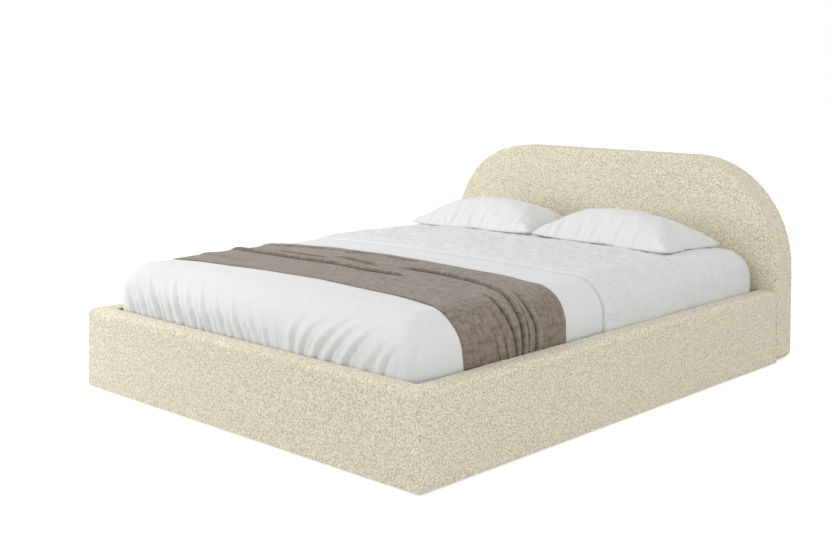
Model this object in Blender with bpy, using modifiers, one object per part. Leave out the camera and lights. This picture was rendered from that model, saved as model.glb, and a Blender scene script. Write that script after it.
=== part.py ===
"""Upholstered storage bed with a round-cornered headboard, dressed with its mattress and bedding.

Metres, +Z up. The origin is on the floor under the middle of the footprint, +Y runs to the headboard
and +X is the right-hand side seen from the foot. The sprung platform lifts at the foot on two side
linkages: a cranked lift arm, a control link and a gas strut on each side.
"""

import math

import bmesh
import bpy
from mathutils import Matrix, Vector

# Outer sizes
WIDTH = 1.790
LENGTH = 2.242
HALF_W = WIDTH / 2
FOOT_Y = -LENGTH / 2
BACK_Y = LENGTH / 2
RAIL_TOP = 0.2976
SIDE_T = 0.085
FOOT_T = 0.076
HEADBOARD_T = 0.135
HEADBOARD_H = 0.835
HEADBOARD_R = 0.440

# Faces that the other pieces are measured from
INNER_X = HALF_W - SIDE_T
INNER_FOOT_Y = FOOT_Y + FOOT_T
HEADBOARD_Y = BACK_Y - HEADBOARD_T
GAP = 0.0003

# Upholstery
SKIRT_Z = 0.004
PAD_OUT = 0.0195
PAD_TOP = 0.022
RAIL_CORE_T = 0.040
FOOT_CORE_T = 0.037
RAIL_EDGE_R = 0.028
RAIL_INNER_EDGE_R = 0.020
CORNER_R = 0.020
HEADBOARD_EDGE_R = 0.020
HEADBOARD_PAD = 0.022
HEADBOARD_PANEL_T = 0.018
BACK_PANEL_T = 0.005
FRAME_HALF_W = 0.800
FRAME_TOP_HALF_W = 0.640
FRAME_TOP_Z = 0.690
FRAME_SHOULDER_Z = 0.460
FRAME_BAR_W = 0.080

# Storage box
GLIDE_R = 0.020
GLIDE_TOP = 0.0037
GLIDE_SPOTS = (("foot", 0.855, -0.900), ("mid", 0.855, 0.200), ("head", 0.720, 1.0535))
BATTEN_TOP = 0.030
FLOOR_PANEL_T = 0.006
CROSS_RAIL_T = 0.028
CROSS_RAIL_Z = (0.0400, 0.2000)
BRACKET_LEG = 0.050
BRACKET_T = 0.003
BRACKET_Z = (0.050, 0.185)
LEDGE_Y = (-0.980, 0.020)
LEDGE_H = 0.032
LEDGE_X = 0.745

# Lift linkage, as (y, z) in the rest pose
ARM_PIVOT = Vector((0.570, 0.228))
PLATFORM_PIVOT = Vector((0.800, 0.232))
LINK_BASE = Vector((0.4134, 0.1112))
LINK_TOP = Vector((0.760, 0.170))
STRUT_BASE = Vector((0.130, 0.200))
TAIL_LENGTH = 0.090
TAIL_ANGLE = math.radians(-150)
STRUT_TOP = ARM_PIVOT + TAIL_LENGTH * Vector((math.cos(TAIL_ANGLE), math.sin(TAIL_ANGLE)))
STUD_R = 0.006
PIVOT_HOLE_R = 0.0064
OPEN_PIVOT_HOLE_R = 0.0078
ARM_W = 0.015
LINK_W = 0.011
CUP_R = 0.009
CYLINDER_R = 0.0095
CYLINDER_END = 0.235
BORE_R = 0.0055
BORE_START = 0.100
ROD_R = 0.0045
ROD_START = 0.115

# Layers of the linkage, as distances from the bed's centre line
PLATE_X = (0.8060, 0.8095)
STRUT_X = (0.7853, 0.8045)
ARM_X = (0.7785, 0.7835)
LINK_X = (0.7715, 0.7765)
STUD_TIP_X = 0.7695

# Platform
TUBE_W = 0.030
TUBE_WALL = 0.002
TUBE_EDGE_R = 0.004
TUBE_Z = (0.222, 0.250)
TUBE_X = 0.765
PLATFORM_Y = (-1.020, 0.900)
SLAT_COUNT = 12
SLAT_HALF_L = 0.750
SLAT_W = 0.070
SLAT_T = 0.008
SLAT_Y = (-0.945, 0.850)
STRAP_W = 0.040
STRAP_T = 0.0025
STRAP_DROP = 0.120
STRAP_X = 0.150

# Bedding: each layer is a soft block, given as (half width, foot y, head y, top z, edge radius)
MATTRESS = (0.7900, -1.0300, 0.9380, 0.4520, 0.060)
FITTED_SHEET = (0.7960, -1.0355, 0.9440, 0.4585, 0.066)
COVERLET = (0.8025, -1.0415, 0.9600, 0.4655, 0.078)
THROW = (0.8085, -1.0415, 0.9600, 0.4725, 0.084)
MATTRESS_Z = 0.2590
SHEET_HEM_Z = 0.262
COVERLET_HEM_Z = 0.265
COVERLET_END_Y = -0.101
THROW_HEM_Z = 0.285
THROW_Y = (-0.820, -0.320)
LAYER_GAP = 0.0004
PILLOW_HALF = (0.343, 0.195)
PILLOW_X = (-0.407, 0.317)
PILLOW_Y = 0.724
PILLOW_SEAM_Z = 0.505
PILLOW_TOP = 0.115
PILLOW_GRID = (14, 8)

SIDES = (("left", -1), ("right", 1))


def clear_scene():
    for old in list(bpy.data.objects):
        bpy.data.objects.remove(old, do_unlink=True)


def collection(name):
    made = bpy.data.collections.new(name)
    bpy.context.scene.collection.children.link(made)
    return made


def material(name, colour, roughness, metallic=0.0):
    made = bpy.data.materials.new(name)
    made.use_nodes = True
    shader = made.node_tree.nodes["Principled BSDF"]
    shader.inputs["Base Color"].default_value = (*colour, 1)
    shader.inputs["Roughness"].default_value = roughness
    shader.inputs["Metallic"].default_value = metallic
    return made


class Bench:
    """Where finished pieces and cutters go."""

    def __init__(self):
        self.parts = collection("storage_bed")
        self.cutters = collection("cutters")
        self.materials = {
            "boucle": material("boucle", (0.72, 0.67, 0.53), 0.95),
            "lining": material("lining", (0.55, 0.52, 0.45), 0.9),
            "timber": material("timber", (0.62, 0.45, 0.28), 0.6),
            "slat_wood": material("slat_wood", (0.76, 0.62, 0.43), 0.5),
            "black_board": material("black_board", (0.02, 0.02, 0.02), 0.8),
            "black_steel": material("black_steel", (0.03, 0.03, 0.03), 0.45, 0.6),
            "bright_steel": material("bright_steel", (0.8, 0.8, 0.8), 0.2, 1.0),
            "glide_plastic": material("glide_plastic", (0.05, 0.05, 0.05), 0.6),
            "webbing": material("webbing", (0.04, 0.04, 0.04), 0.85),
            "ticking": material("ticking", (0.80, 0.80, 0.78), 0.9),
            "sheet_cotton": material("sheet_cotton", (0.83, 0.83, 0.83), 0.85),
            "coverlet_cotton": material("coverlet_cotton", (0.84, 0.84, 0.84), 0.85),
            "throw_weave": material("throw_weave", (0.33, 0.27, 0.22), 0.9),
            "pillow_cotton": material("pillow_cotton", (0.83, 0.83, 0.84), 0.85),
        }

    def piece(self, name, mesh, finish, pivot=(0, 0, 0), body=None):
        """A finished piece: its origin is put on pivot, and it is parented to body's empty."""
        mesh.materials.clear()
        mesh.materials.append(self.materials[finish])
        mesh.transform(Matrix.Translation(-Vector(pivot)))
        made = bpy.data.objects.new(name, mesh)
        self.parts.objects.link(made)
        made.parent = body
        made.location = Vector(pivot) - (body.location if body else Vector())
        return made

    def cutter(self, name, mesh):
        made = bpy.data.objects.new(name, mesh)
        self.cutters.objects.link(made)
        made.hide_render = True
        made.display_type = "WIRE"
        return made

    def pivot(self, name, place):
        """An empty on a joint's axis, which carries the pieces that turn about it."""
        made = bpy.data.objects.new(name, None)
        self.parts.objects.link(made)
        made.location = place
        return made


def combine(piece, other, operation):
    change = piece.modifiers.new(operation.lower(), "BOOLEAN")
    change.operation = operation
    change.object = other
    change.solver = "EXACT"


def finish_mesh(shape, name, recalculate=True):
    if recalculate:
        bmesh.ops.recalc_face_normals(shape, faces=shape.faces)
    mesh = bpy.data.meshes.new(name)
    shape.to_mesh(mesh)
    shape.free()
    return mesh


def box(low, high, edge=0.0):
    """A block between two corners, its edges rounded by edge."""
    shape = bmesh.new()
    size = Vector(high) - Vector(low)
    middle = Matrix.Translation((Vector(high) + Vector(low)) / 2)
    bmesh.ops.create_cube(shape, matrix=middle @ Matrix.Diagonal((*size, 1)))
    if edge:
        bmesh.ops.bevel(shape, geom=shape.edges[:], offset=edge, segments=2, profile=0.5, affect="EDGES")
    return finish_mesh(shape, "block")


def rod(start, end, radius, sides=20):
    """A round bar between two points."""
    start, end = Vector(start), Vector(end)
    along = end - start
    turn = along.to_track_quat("Z", "Y").to_matrix().to_4x4()
    shape = bmesh.new()
    bmesh.ops.create_cone(
        shape, cap_ends=True, segments=sides, radius1=radius, radius2=radius, depth=along.length,
        matrix=Matrix.Translation((start + end) / 2) @ turn,
    )
    return finish_mesh(shape, "bar")


def arc(centre, radius, start, end, steps):
    """Points along an arc, angles in degrees."""
    angles = [math.radians(start + (end - start) * i / steps) for i in range(steps + 1)]
    return [(centre[0] + radius * math.cos(a), centre[1] + radius * math.sin(a)) for a in angles]


def rounded_rectangle(low, high, radius, steps=3):
    centres = ((high[0] - radius, high[1] - radius), (low[0] + radius, high[1] - radius),
               (low[0] + radius, low[1] + radius), (high[0] - radius, low[1] + radius))
    return [p for i, c in enumerate(centres) for p in arc(c, radius, 90 * i, 90 * i + 90, steps)]


def capsule(first, second, radius, steps=8):
    """The outline of a flat bar with round ends."""
    heading = math.degrees(math.atan2(second[1] - first[1], second[0] - first[0]))
    return (arc(second, radius, heading - 90, heading + 90, steps)
            + arc(first, radius, heading + 90, heading + 270, steps))


# How an outline's own axes lie in the bed's frame: (across, up, through)
PLANES = {
    "XY": Matrix(((1, 0, 0), (0, 1, 0), (0, 0, 1))),
    "XZ": Matrix(((1, 0, 0), (0, 0, -1), (0, 1, 0))),
    "YZ": Matrix(((0, 0, 1), (1, 0, 0), (0, 1, 0))),
}


def extrusion(outlines, plane, low, high):
    """A flat outline, with any holes after it, given thickness from low to high across its plane."""
    curve = bpy.data.curves.new("outline", "CURVE")
    curve.dimensions = "2D"
    curve.fill_mode = "BOTH"
    curve.extrude = (high - low) / 2
    for outline in outlines:
        spline = curve.splines.new("POLY")
        spline.points.add(len(outline) - 1)
        for point, place in zip(spline.points, outline):
            point.co = (*place, 0, 1)
        spline.use_cyclic_u = True
    holder = bpy.data.objects.new("outline", curve)
    bpy.context.scene.collection.objects.link(holder)
    evaluated = holder.evaluated_get(bpy.context.evaluated_depsgraph_get())
    flat = bpy.data.meshes.new_from_object(evaluated)
    bpy.data.objects.remove(holder)
    bpy.data.curves.remove(curve)
    turn = PLANES[plane].to_4x4()
    through = PLANES[plane].col[2]
    shift = Vector([abs(x) * (low + high) / 2 for x in through])
    shape = bmesh.new()
    shape.from_mesh(flat)
    bpy.data.meshes.remove(flat)
    bmesh.ops.remove_doubles(shape, verts=shape.verts, dist=0.00001)
    bmesh.ops.transform(shape, matrix=Matrix.Translation(shift) @ turn, verts=shape.verts)
    return finish_mesh(shape, "outline")


def soft_block(layer, bottom, segments=5):
    """A block whose top and upright edges are rounded: (half width, foot y, head y, top z, radius)."""
    half, foot, head, top, radius = layer
    shape = bmesh.new()
    size = (2 * half, head - foot, top - bottom)
    middle = Matrix.Translation((0, (foot + head) / 2, (top + bottom) / 2))
    bmesh.ops.create_cube(shape, matrix=middle @ Matrix.Diagonal((*size, 1)))
    low = [e for e in shape.edges if all(v.co.z < bottom + GAP for v in e.verts)]
    edges = [e for e in shape.edges if e not in low]
    bmesh.ops.bevel(shape, geom=edges, offset=radius, segments=segments, profile=0.5, affect="EDGES")
    return finish_mesh(shape, "soft_block")


def grown(layer, by):
    half, foot, head, top, radius = layer
    return half + by, foot - by, head + by, top + by, radius + by


def mitre_ends():
    """Where the mitre at the right foot corner starts and ends, run past the upholstery at both."""
    outer = Vector((HALF_W, FOOT_Y))
    inner = Vector((INNER_X, INNER_FOOT_Y))
    run_past = (inner - outer).normalized() * SIDE_T / 2
    return outer - run_past, inner + run_past


def rail_section(outer, inner, core_t, side):
    """The padded channel of a rail: open below, with a slot for its timber core."""
    middle_outer = outer - PAD_OUT + GAP
    middle_inner = outer - PAD_OUT - core_t - GAP
    slot_top = RAIL_TOP - PAD_TOP
    points = [(outer, SKIRT_Z)]
    points += arc((outer - RAIL_EDGE_R, RAIL_TOP - RAIL_EDGE_R), RAIL_EDGE_R, 0, 90, 6)
    points += arc((inner + RAIL_INNER_EDGE_R, RAIL_TOP - RAIL_INNER_EDGE_R), RAIL_INNER_EDGE_R, 90, 180, 4)
    points += [(inner, SKIRT_Z), (middle_inner, SKIRT_Z), (middle_inner, slot_top),
               (middle_outer, slot_top), (middle_outer, SKIRT_Z)]
    return [(side * x, z) for x, z in points]


def add_rails(bench):
    """The two side rails and the footboard: a timber core in a padded cover, mitred at the foot corners."""
    core_top = RAIL_TOP - PAD_TOP - GAP
    core_bottom = SKIRT_Z + GAP
    outer_core = HALF_W - PAD_OUT
    plan = arc((HALF_W - CORNER_R, FOOT_Y + CORNER_R), CORNER_R, 0, -90, 6)
    plan += arc((-HALF_W + CORNER_R, FOOT_Y + CORNER_R), CORNER_R, -90, -180, 6)
    plan += [(-HALF_W, BACK_Y), (HALF_W, BACK_Y)]
    rounded_plan = bench.cutter("rounded_plan", extrusion([plan], "XY", -RAIL_TOP, 2 * RAIL_TOP))
    far, near = mitre_ends()
    for side_name, side in SIDES:
        core = box((outer_core - RAIL_CORE_T, INNER_FOOT_Y - PAD_OUT - GAP, core_bottom),
                   (outer_core, HEADBOARD_Y - GAP, core_top))
        core.transform(Matrix.Diagonal((side, 1, 1, 1)))
        if side < 0:
            core.flip_normals()
        bench.piece(f"side_rail_core_{side_name}", core, "timber")
        section = rail_section(HALF_W, INNER_X, RAIL_CORE_T, side)
        cover = bench.piece(f"side_rail_cover_{side_name}",
                            extrusion([section], "XZ", FOOT_Y, HEADBOARD_Y - GAP), "boucle")
        wedge = [far, (HALF_W + SIDE_T, far.y), (HALF_W + SIDE_T, BACK_Y), (near.x - SIDE_T, BACK_Y),
                 (near.x - SIDE_T, near.y), near]
        wedge = [(side * x, y + GAP / 2) for x, y in wedge]
        keep = bench.cutter(f"side_wedge_{side_name}", extrusion([wedge], "XY", -RAIL_TOP, 2 * RAIL_TOP))
        combine(cover, keep, "INTERSECT")
        combine(cover, rounded_plan, "INTERSECT")
    foot_core = box((-outer_core + RAIL_CORE_T + GAP * 12, FOOT_Y + PAD_OUT, core_bottom),
                    (outer_core - RAIL_CORE_T - GAP * 12, FOOT_Y + PAD_OUT + FOOT_CORE_T - GAP, core_top))
    bench.piece("footboard_core", foot_core, "timber")
    section = [(-y, z) for y, z in rail_section(-FOOT_Y, -INNER_FOOT_Y, FOOT_CORE_T, 1)]
    cover = bench.piece("footboard_cover", extrusion([section], "YZ", -HALF_W, HALF_W), "boucle")
    wedge = [(-far.x, far.y), (far.x, far.y), (near.x, near.y), (-near.x, near.y)]
    keep = bench.cutter("foot_wedge", extrusion([[(x, y - GAP / 2) for x, y in wedge]], "XY",
                                                -RAIL_TOP, 2 * RAIL_TOP))
    combine(cover, keep, "INTERSECT")
    combine(cover, rounded_plan, "INTERSECT")


def headboard_outline(inset, bottom, steps):
    """The headboard seen from the front: straight sides and top, joined by wide round corners."""
    radius = HEADBOARD_R - inset
    centre_x, centre_z = HALF_W - HEADBOARD_R, HEADBOARD_H - HEADBOARD_R
    outline = [(-HALF_W + inset, bottom), (HALF_W - inset, bottom)]
    outline += arc((centre_x, centre_z), radius, 0, 90, steps)
    return outline + arc((-centre_x, centre_z), radius, 90, 180, steps)


def add_headboard(bench):
    """A padded cover over a front panel on a timber frame, closed at the back by a lined panel."""
    inner = HEADBOARD_PAD
    floor_z = SKIRT_Z + inner
    cover = bench.piece("headboard_cover", extrusion([headboard_outline(0, SKIRT_Z, 14)], "XZ",
                                                     HEADBOARD_Y, BACK_Y), "boucle")
    soften = cover.modifiers.new("soft_rim", "BEVEL")
    soften.width = HEADBOARD_EDGE_R
    soften.segments = 3
    soften.limit_method = "ANGLE"
    soften.angle_limit = math.radians(40)
    hollow = extrusion([headboard_outline(inner, floor_z, 14)], "XZ", HEADBOARD_Y + inner, BACK_Y + inner)
    combine(cover, bench.cutter("headboard_hollow", hollow), "DIFFERENCE")

    fit = inner + GAP
    panel_front = HEADBOARD_Y + fit
    panel_back = panel_front + HEADBOARD_PANEL_T
    fitted = [headboard_outline(fit, floor_z + GAP, 14)]
    bench.piece("headboard_panel", extrusion(fitted, "XZ", panel_front, panel_back), "timber")
    bench.piece("headboard_back_panel", extrusion(fitted, "XZ", BACK_Y - BACK_PANEL_T, BACK_Y), "lining")

    front, back = panel_back + GAP, BACK_Y - BACK_PANEL_T - GAP
    frame = [(-FRAME_HALF_W, floor_z + GAP), (FRAME_HALF_W, floor_z + GAP), (FRAME_HALF_W, FRAME_SHOULDER_Z),
             (FRAME_TOP_HALF_W, FRAME_TOP_Z), (-FRAME_TOP_HALF_W, FRAME_TOP_Z),
             (-FRAME_HALF_W, FRAME_SHOULDER_Z)]
    open_low, open_high = floor_z + FRAME_BAR_W, FRAME_TOP_Z - FRAME_BAR_W
    open_x, open_top_x = FRAME_HALF_W - FRAME_BAR_W, FRAME_TOP_HALF_W - FRAME_BAR_W
    opening = [(-open_x, open_low), (open_x, open_low), (open_x, FRAME_SHOULDER_Z - FRAME_BAR_W),
               (open_top_x, open_high), (-open_top_x, open_high), (-open_x, FRAME_SHOULDER_Z - FRAME_BAR_W)]
    bench.piece("headboard_frame", extrusion([frame, opening], "XZ", front, back), "timber")


def add_storage_box(bench):
    """What closes the box between the rails: cross rail, brackets, ledges, floor panels and glides."""
    inner_x = INNER_X - GAP
    cross_front = HEADBOARD_Y - GAP - CROSS_RAIL_T
    bench.piece("head_cross_rail", box((-inner_x, cross_front, CROSS_RAIL_Z[0]),
                                       (inner_x, HEADBOARD_Y - GAP, CROSS_RAIL_Z[1])), "timber")
    corners = (("foot", INNER_FOOT_Y + GAP, 1), ("head", cross_front - GAP, -1))
    for side_name, side in SIDES:
        for end_name, corner_y, inwards in corners:
            leg, wall = BRACKET_LEG * inwards, BRACKET_T * inwards
            outline = [(inner_x, corner_y), (inner_x, corner_y + leg), (inner_x - BRACKET_T, corner_y + leg),
                       (inner_x - BRACKET_T, corner_y + wall), (inner_x - BRACKET_LEG, corner_y + wall),
                       (inner_x - BRACKET_LEG, corner_y)]
            outline = [(side * x, y) for x, y in outline]
            bench.piece(f"corner_bracket_{end_name}_{side_name}",
                        extrusion([outline], "XY", *BRACKET_Z), "black_steel")
        ledge_top = TUBE_Z[0] - GAP
        low_x, high_x = sorted((side * LEDGE_X, side * inner_x))
        bench.piece(f"support_ledge_{side_name}", box((low_x, LEDGE_Y[0], ledge_top - LEDGE_H),
                                                      (high_x, LEDGE_Y[1], ledge_top)), "timber")
        low_x, high_x = sorted((side * GAP, side * inner_x))
        bench.piece(f"floor_panel_{side_name}",
                    box((low_x, INNER_FOOT_Y + GAP, BATTEN_TOP + GAP),
                        (high_x, HEADBOARD_Y - GAP, BATTEN_TOP + FLOOR_PANEL_T)), "black_board")
        for spot, x, y in GLIDE_SPOTS:
            bench.piece(f"glide_{spot}_{side_name}", rod((side * x, y, 0), (side * x, y, GLIDE_TOP), GLIDE_R),
                        "glide_plastic")
    bench.piece("floor_batten", box((-TUBE_W, INNER_FOOT_Y + GAP, SKIRT_Z),
                                    (TUBE_W, HEADBOARD_Y - GAP, BATTEN_TOP)), "timber")


def across(point, x):
    """A (y, z) point of the linkage, at distance x from the centre line."""
    return Vector((x, point[0], point[1]))


def add_stud(bench, piece, name, point, start_x, end_x, radius=STUD_R):
    """A round stud joined to piece, along X."""
    stud = bench.cutter(name, rod(across(point, start_x), across(point, end_x), radius))
    combine(piece, stud, "UNION")


def side_plate(outlines, layer, side):
    """A flat plate of the linkage, lying in its layer on one side of the bed."""
    return extrusion(outlines, "YZ", *sorted((side * layer[0], side * layer[1])))


def ring(centre, radius):
    return arc(centre, radius, 0, 342, 19)


def add_hinge_plates(bench):
    """The plate screwed to each side rail, with the studs that the arm, the link and the strut turn on."""
    for side_name, side in SIDES:
        outline = rounded_rectangle((0.106, 0.087), (0.606, 0.254), 0.015)
        plate = bench.piece(f"hinge_plate_{side_name}", side_plate([outline], PLATE_X, side), "black_steel")
        root = side * (PLATE_X[0] + BRACKET_T / 2)
        add_stud(bench, plate, f"arm_stud_{side_name}", ARM_PIVOT, root, side * (ARM_X[0] - 2 * GAP))
        add_stud(bench, plate, f"link_stud_{side_name}", LINK_BASE, root, side * (LINK_X[0] - 2 * GAP))
        add_stud(bench, plate, f"strut_stud_{side_name}", STRUT_BASE, root, side * (STRUT_X[0] + 2 * GAP))


def add_lift_arms(bench):
    """The cranked arm: from the hinge plate to the platform, with a tail that the strut pushes."""
    body = bench.pivot("lift_arms_axis", across(ARM_PIVOT, 0))
    for side_name, side in SIDES:
        arm = bench.piece(f"lift_arm_{side_name}",
                          side_plate([capsule(ARM_PIVOT, PLATFORM_PIVOT, ARM_W)], ARM_X, side),
                          "black_steel", across(ARM_PIVOT, side * ARM_X[0]), body)
        tail = bench.cutter(f"arm_tail_{side_name}",
                            side_plate([capsule(ARM_PIVOT, STRUT_TOP, ARM_W * 0.9)], ARM_X, side))
        combine(arm, tail, "UNION")
        for eye, point in (("base", ARM_PIVOT), ("platform", PLATFORM_PIVOT)):
            past = BRACKET_T
            hole = rod(across(point, side * (ARM_X[0] - past)), across(point, side * (ARM_X[1] + past)),
                       PIVOT_HOLE_R)
            combine(arm, bench.cutter(f"arm_{eye}_hole_{side_name}", hole), "DIFFERENCE")
        add_stud(bench, arm, f"strut_ball_{side_name}", STRUT_TOP, side * (ARM_X[0] + BRACKET_T),
                 side * (STRUT_X[0] - GAP), STUD_R * 0.8)


def add_control_links(bench):
    """The lower bar of the linkage, which sets how far the platform tips."""
    body = bench.pivot("control_links_axis", across(LINK_BASE, 0))
    for side_name, side in SIDES:
        outlines = [capsule(LINK_BASE, LINK_TOP, LINK_W), ring(LINK_BASE, PIVOT_HOLE_R),
                    ring(LINK_TOP, OPEN_PIVOT_HOLE_R)]
        bench.piece(f"control_link_{side_name}", side_plate(outlines, LINK_X, side), "black_steel",
                    across(LINK_BASE, side * LINK_X[0]), body)


def add_gas_struts(bench):
    """A cylinder that turns on the hinge plate, and a rod that slides out of it to the arm's tail."""
    along = (STRUT_TOP - STRUT_BASE).normalized()
    cylinders = bench.pivot("gas_cylinders_axis", across(STRUT_BASE, 0))
    rods = bench.pivot("gas_rods_axis", across(STRUT_TOP, 0))
    for side_name, side in SIDES:
        middle_x = side * sum(STRUT_X) / 2

        def on_axis(distance):
            return across(STRUT_BASE + along * distance, middle_x)

        eye_x = (middle_x - side * STUD_R, middle_x + side * STUD_R)
        cylinder = bench.piece(f"gas_cylinder_{side_name}",
                               rod(on_axis(PIVOT_HOLE_R + GAP * 10), on_axis(CYLINDER_END), CYLINDER_R, 24),
                               "black_steel", across(STRUT_BASE, middle_x), cylinders)
        eye = bench.cutter(f"strut_eye_{side_name}",
                           rod(across(STRUT_BASE, eye_x[0]), across(STRUT_BASE, eye_x[1]), 2 * STUD_R))
        combine(cylinder, eye, "UNION")
        hole = rod(across(STRUT_BASE, side * (STRUT_X[0] - STUD_R)),
                   across(STRUT_BASE, side * (STRUT_X[1] + STUD_R)), PIVOT_HOLE_R)
        combine(cylinder, bench.cutter(f"strut_hole_{side_name}", hole), "DIFFERENCE")
        bore = rod(on_axis(BORE_START), on_axis(CYLINDER_END + STUD_R), BORE_R)
        combine(cylinder, bench.cutter(f"strut_bore_{side_name}", bore), "DIFFERENCE")
        length = (STRUT_TOP - STRUT_BASE).length
        slider = bench.piece(f"gas_rod_{side_name}", rod(on_axis(ROD_START), on_axis(length), ROD_R, 16),
                             "bright_steel", across(STRUT_TOP, middle_x), rods)
        cup = bench.cutter(f"rod_cup_{side_name}", rod(across(STRUT_TOP, side * STRUT_X[0]),
                                                       across(STRUT_TOP, side * STRUT_X[1]), CUP_R))
        combine(slider, cup, "UNION")


def tube(plane, low, high, start, end):
    """A rectangular steel tube, open at both ends."""
    inner_low = (low[0] + TUBE_WALL, low[1] + TUBE_WALL)
    inner_high = (high[0] - TUBE_WALL, high[1] - TUBE_WALL)
    outlines = [rounded_rectangle(low, high, TUBE_EDGE_R, 2),
                rounded_rectangle(inner_low, inner_high, TUBE_EDGE_R - TUBE_WALL, 2)]
    return extrusion(outlines, plane, start, end)


def add_platform(bench):
    """The steel frame that lifts: tubes, the hinge ears on the side tubes, slats and the pull strap."""
    pivot = across(PLATFORM_PIVOT, 0)
    body = bench.pivot("platform_axis", pivot)
    foot, head = PLATFORM_Y
    inner = TUBE_X - TUBE_W - GAP
    for side_name, side in SIDES:
        low_x, high_x = sorted((side * (TUBE_X - TUBE_W), side * TUBE_X))
        side_tube = bench.piece(f"side_tube_{side_name}",
                                tube("XZ", (low_x, TUBE_Z[0]), (high_x, TUBE_Z[1]), foot, head),
                                "black_steel", pivot, body)
        ear = rounded_rectangle((0.744, 0.154), (0.828, 0.248), 0.012)
        ear_plate = side_plate([ear], (TUBE_X - TUBE_WALL / 2, STUD_TIP_X), side)
        combine(side_tube, bench.cutter(f"hinge_ear_{side_name}", ear_plate), "UNION")
        root = side * (STUD_TIP_X - TUBE_WALL)
        add_stud(bench, side_tube, f"platform_stud_{side_name}", PLATFORM_PIVOT, root,
                 side * (ARM_X[1] + 2 * GAP))
        add_stud(bench, side_tube, f"link_top_stud_{side_name}", LINK_TOP, root,
                 side * (LINK_X[1] + 2 * GAP))
    for name, low_y in (("foot_tube", foot), ("head_tube", head - TUBE_W)):
        bench.piece(name, tube("YZ", (low_y, TUBE_Z[0]), (low_y + TUBE_W, TUBE_Z[1]), -inner, inner),
                    "black_steel", pivot, body)
    bench.piece("centre_tube", tube("XZ", (-TUBE_W / 2, TUBE_Z[0]), (TUBE_W / 2, TUBE_Z[1]),
                                    foot + TUBE_W + GAP, head - TUBE_W - GAP), "black_steel", pivot, body)
    slat_low = TUBE_Z[1] + GAP
    for i in range(SLAT_COUNT):
        y = SLAT_Y[0] + (SLAT_Y[1] - SLAT_Y[0]) * i / (SLAT_COUNT - 1)
        slat = box((-SLAT_HALF_L, y - SLAT_W / 2, slat_low), (SLAT_HALF_L, y + SLAT_W / 2, slat_low + SLAT_T),
                   0.002)
        bench.piece(f"slat_{i + 1:02d}", slat, "slat_wood", pivot, body)
    around = 2 * GAP
    inner_low = (foot - around, TUBE_Z[0] - STRAP_DROP + TUBE_W)
    inner_high = (foot + TUBE_W + around, TUBE_Z[1] + around)
    outer_low = (inner_low[0] - STRAP_T, inner_low[1] - STRAP_T)
    outer_high = (inner_high[0] + STRAP_T, inner_high[1] + STRAP_T)
    loop = [rounded_rectangle(outer_low, outer_high, 0.006), rounded_rectangle(inner_low, inner_high, 0.0035)]
    bench.piece("pull_strap", extrusion(loop, "YZ", STRAP_X - STRAP_W / 2, STRAP_X + STRAP_W / 2), "webbing", pivot, body)
    return body


def pillow_mesh():
    """Two quilted faces meeting in a seam round the edge, plumper above than below."""
    half_x, half_y = PILLOW_HALF
    rest = PILLOW_SEAM_Z - FITTED_SHEET[3] - 2 * LAYER_GAP
    shape = bmesh.new()
    for face, depth, power in ((1, PILLOW_TOP, 0.55), (-1, rest, 0.30)):
        grid = bmesh.ops.create_grid(shape, x_segments=PILLOW_GRID[0], y_segments=PILLOW_GRID[1], size=1.0)
        for vertex in grid["verts"]:
            u, v = vertex.co.x, vertex.co.y
            swell = max(0.0, (1 - u * u) * (1 - v * v))
            pull_x = 1 - 0.05 * (1 - v * v)
            pull_y = 1 - 0.08 * (1 - u * u)
            height = face * depth * swell**power
            vertex.co = (half_x * u * pull_x, half_y * v * pull_y, height)
        if face < 0:
            under = {f for vertex in grid["verts"] for f in vertex.link_faces}
            bmesh.ops.reverse_faces(shape, faces=list(under))
    bmesh.ops.remove_doubles(shape, verts=shape.verts, dist=0.0001)
    return finish_mesh(shape, "pillow", recalculate=False)


def add_bedding(bench, body):
    """The mattress and what covers it. Each layer clears the one under it."""
    pivot = across(PLATFORM_PIVOT, 0)
    bench.piece("mattress", soft_block(MATTRESS, MATTRESS_Z), "ticking", pivot, body)
    reach = 2 * HALF_W
    below = MATTRESS_Z - SIDE_T

    fitted = bench.piece("fitted_sheet", soft_block(FITTED_SHEET, SHEET_HEM_Z), "sheet_cotton", pivot, body)
    combine(fitted, bench.cutter("room_for_mattress", soft_block(grown(MATTRESS, LAYER_GAP), below)),
            "DIFFERENCE")

    coverlet = bench.piece("coverlet", soft_block(COVERLET, COVERLET_HEM_Z), "coverlet_cotton", pivot, body)
    combine(coverlet, bench.cutter("room_for_sheet", soft_block(grown(FITTED_SHEET, LAYER_GAP), below)),
            "DIFFERENCE")
    head_part = box((-reach, COVERLET_END_Y, below), (reach, reach, reach))
    combine(coverlet, bench.cutter("coverlet_end", head_part), "DIFFERENCE")

    throw = bench.piece("throw", soft_block(THROW, THROW_HEM_Z), "throw_weave", pivot, body)
    room = bench.cutter("room_for_coverlet", soft_block(grown(COVERLET, LAYER_GAP), below))
    combine(throw, room, "DIFFERENCE")
    band = box((-reach, THROW_Y[0], below), (reach, THROW_Y[1], reach))
    combine(throw, bench.cutter("throw_band", band), "INTERSECT")

    for (side_name, _), x in zip(SIDES, PILLOW_X):
        mesh = pillow_mesh()
        mesh.transform(Matrix.Translation((x, PILLOW_Y, PILLOW_SEAM_Z)))
        bench.piece(f"pillow_{side_name}", mesh, "pillow_cotton", pivot, body)


def main():
    clear_scene()
    bench = Bench()
    add_rails(bench)
    add_headboard(bench)
    add_storage_box(bench)
    add_hinge_plates(bench)
    add_lift_arms(bench)
    add_control_links(bench)
    add_gas_struts(bench)
    platform = add_platform(bench)
    add_bedding(bench, platform)


main()
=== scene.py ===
import math
from collections import namedtuple

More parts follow.
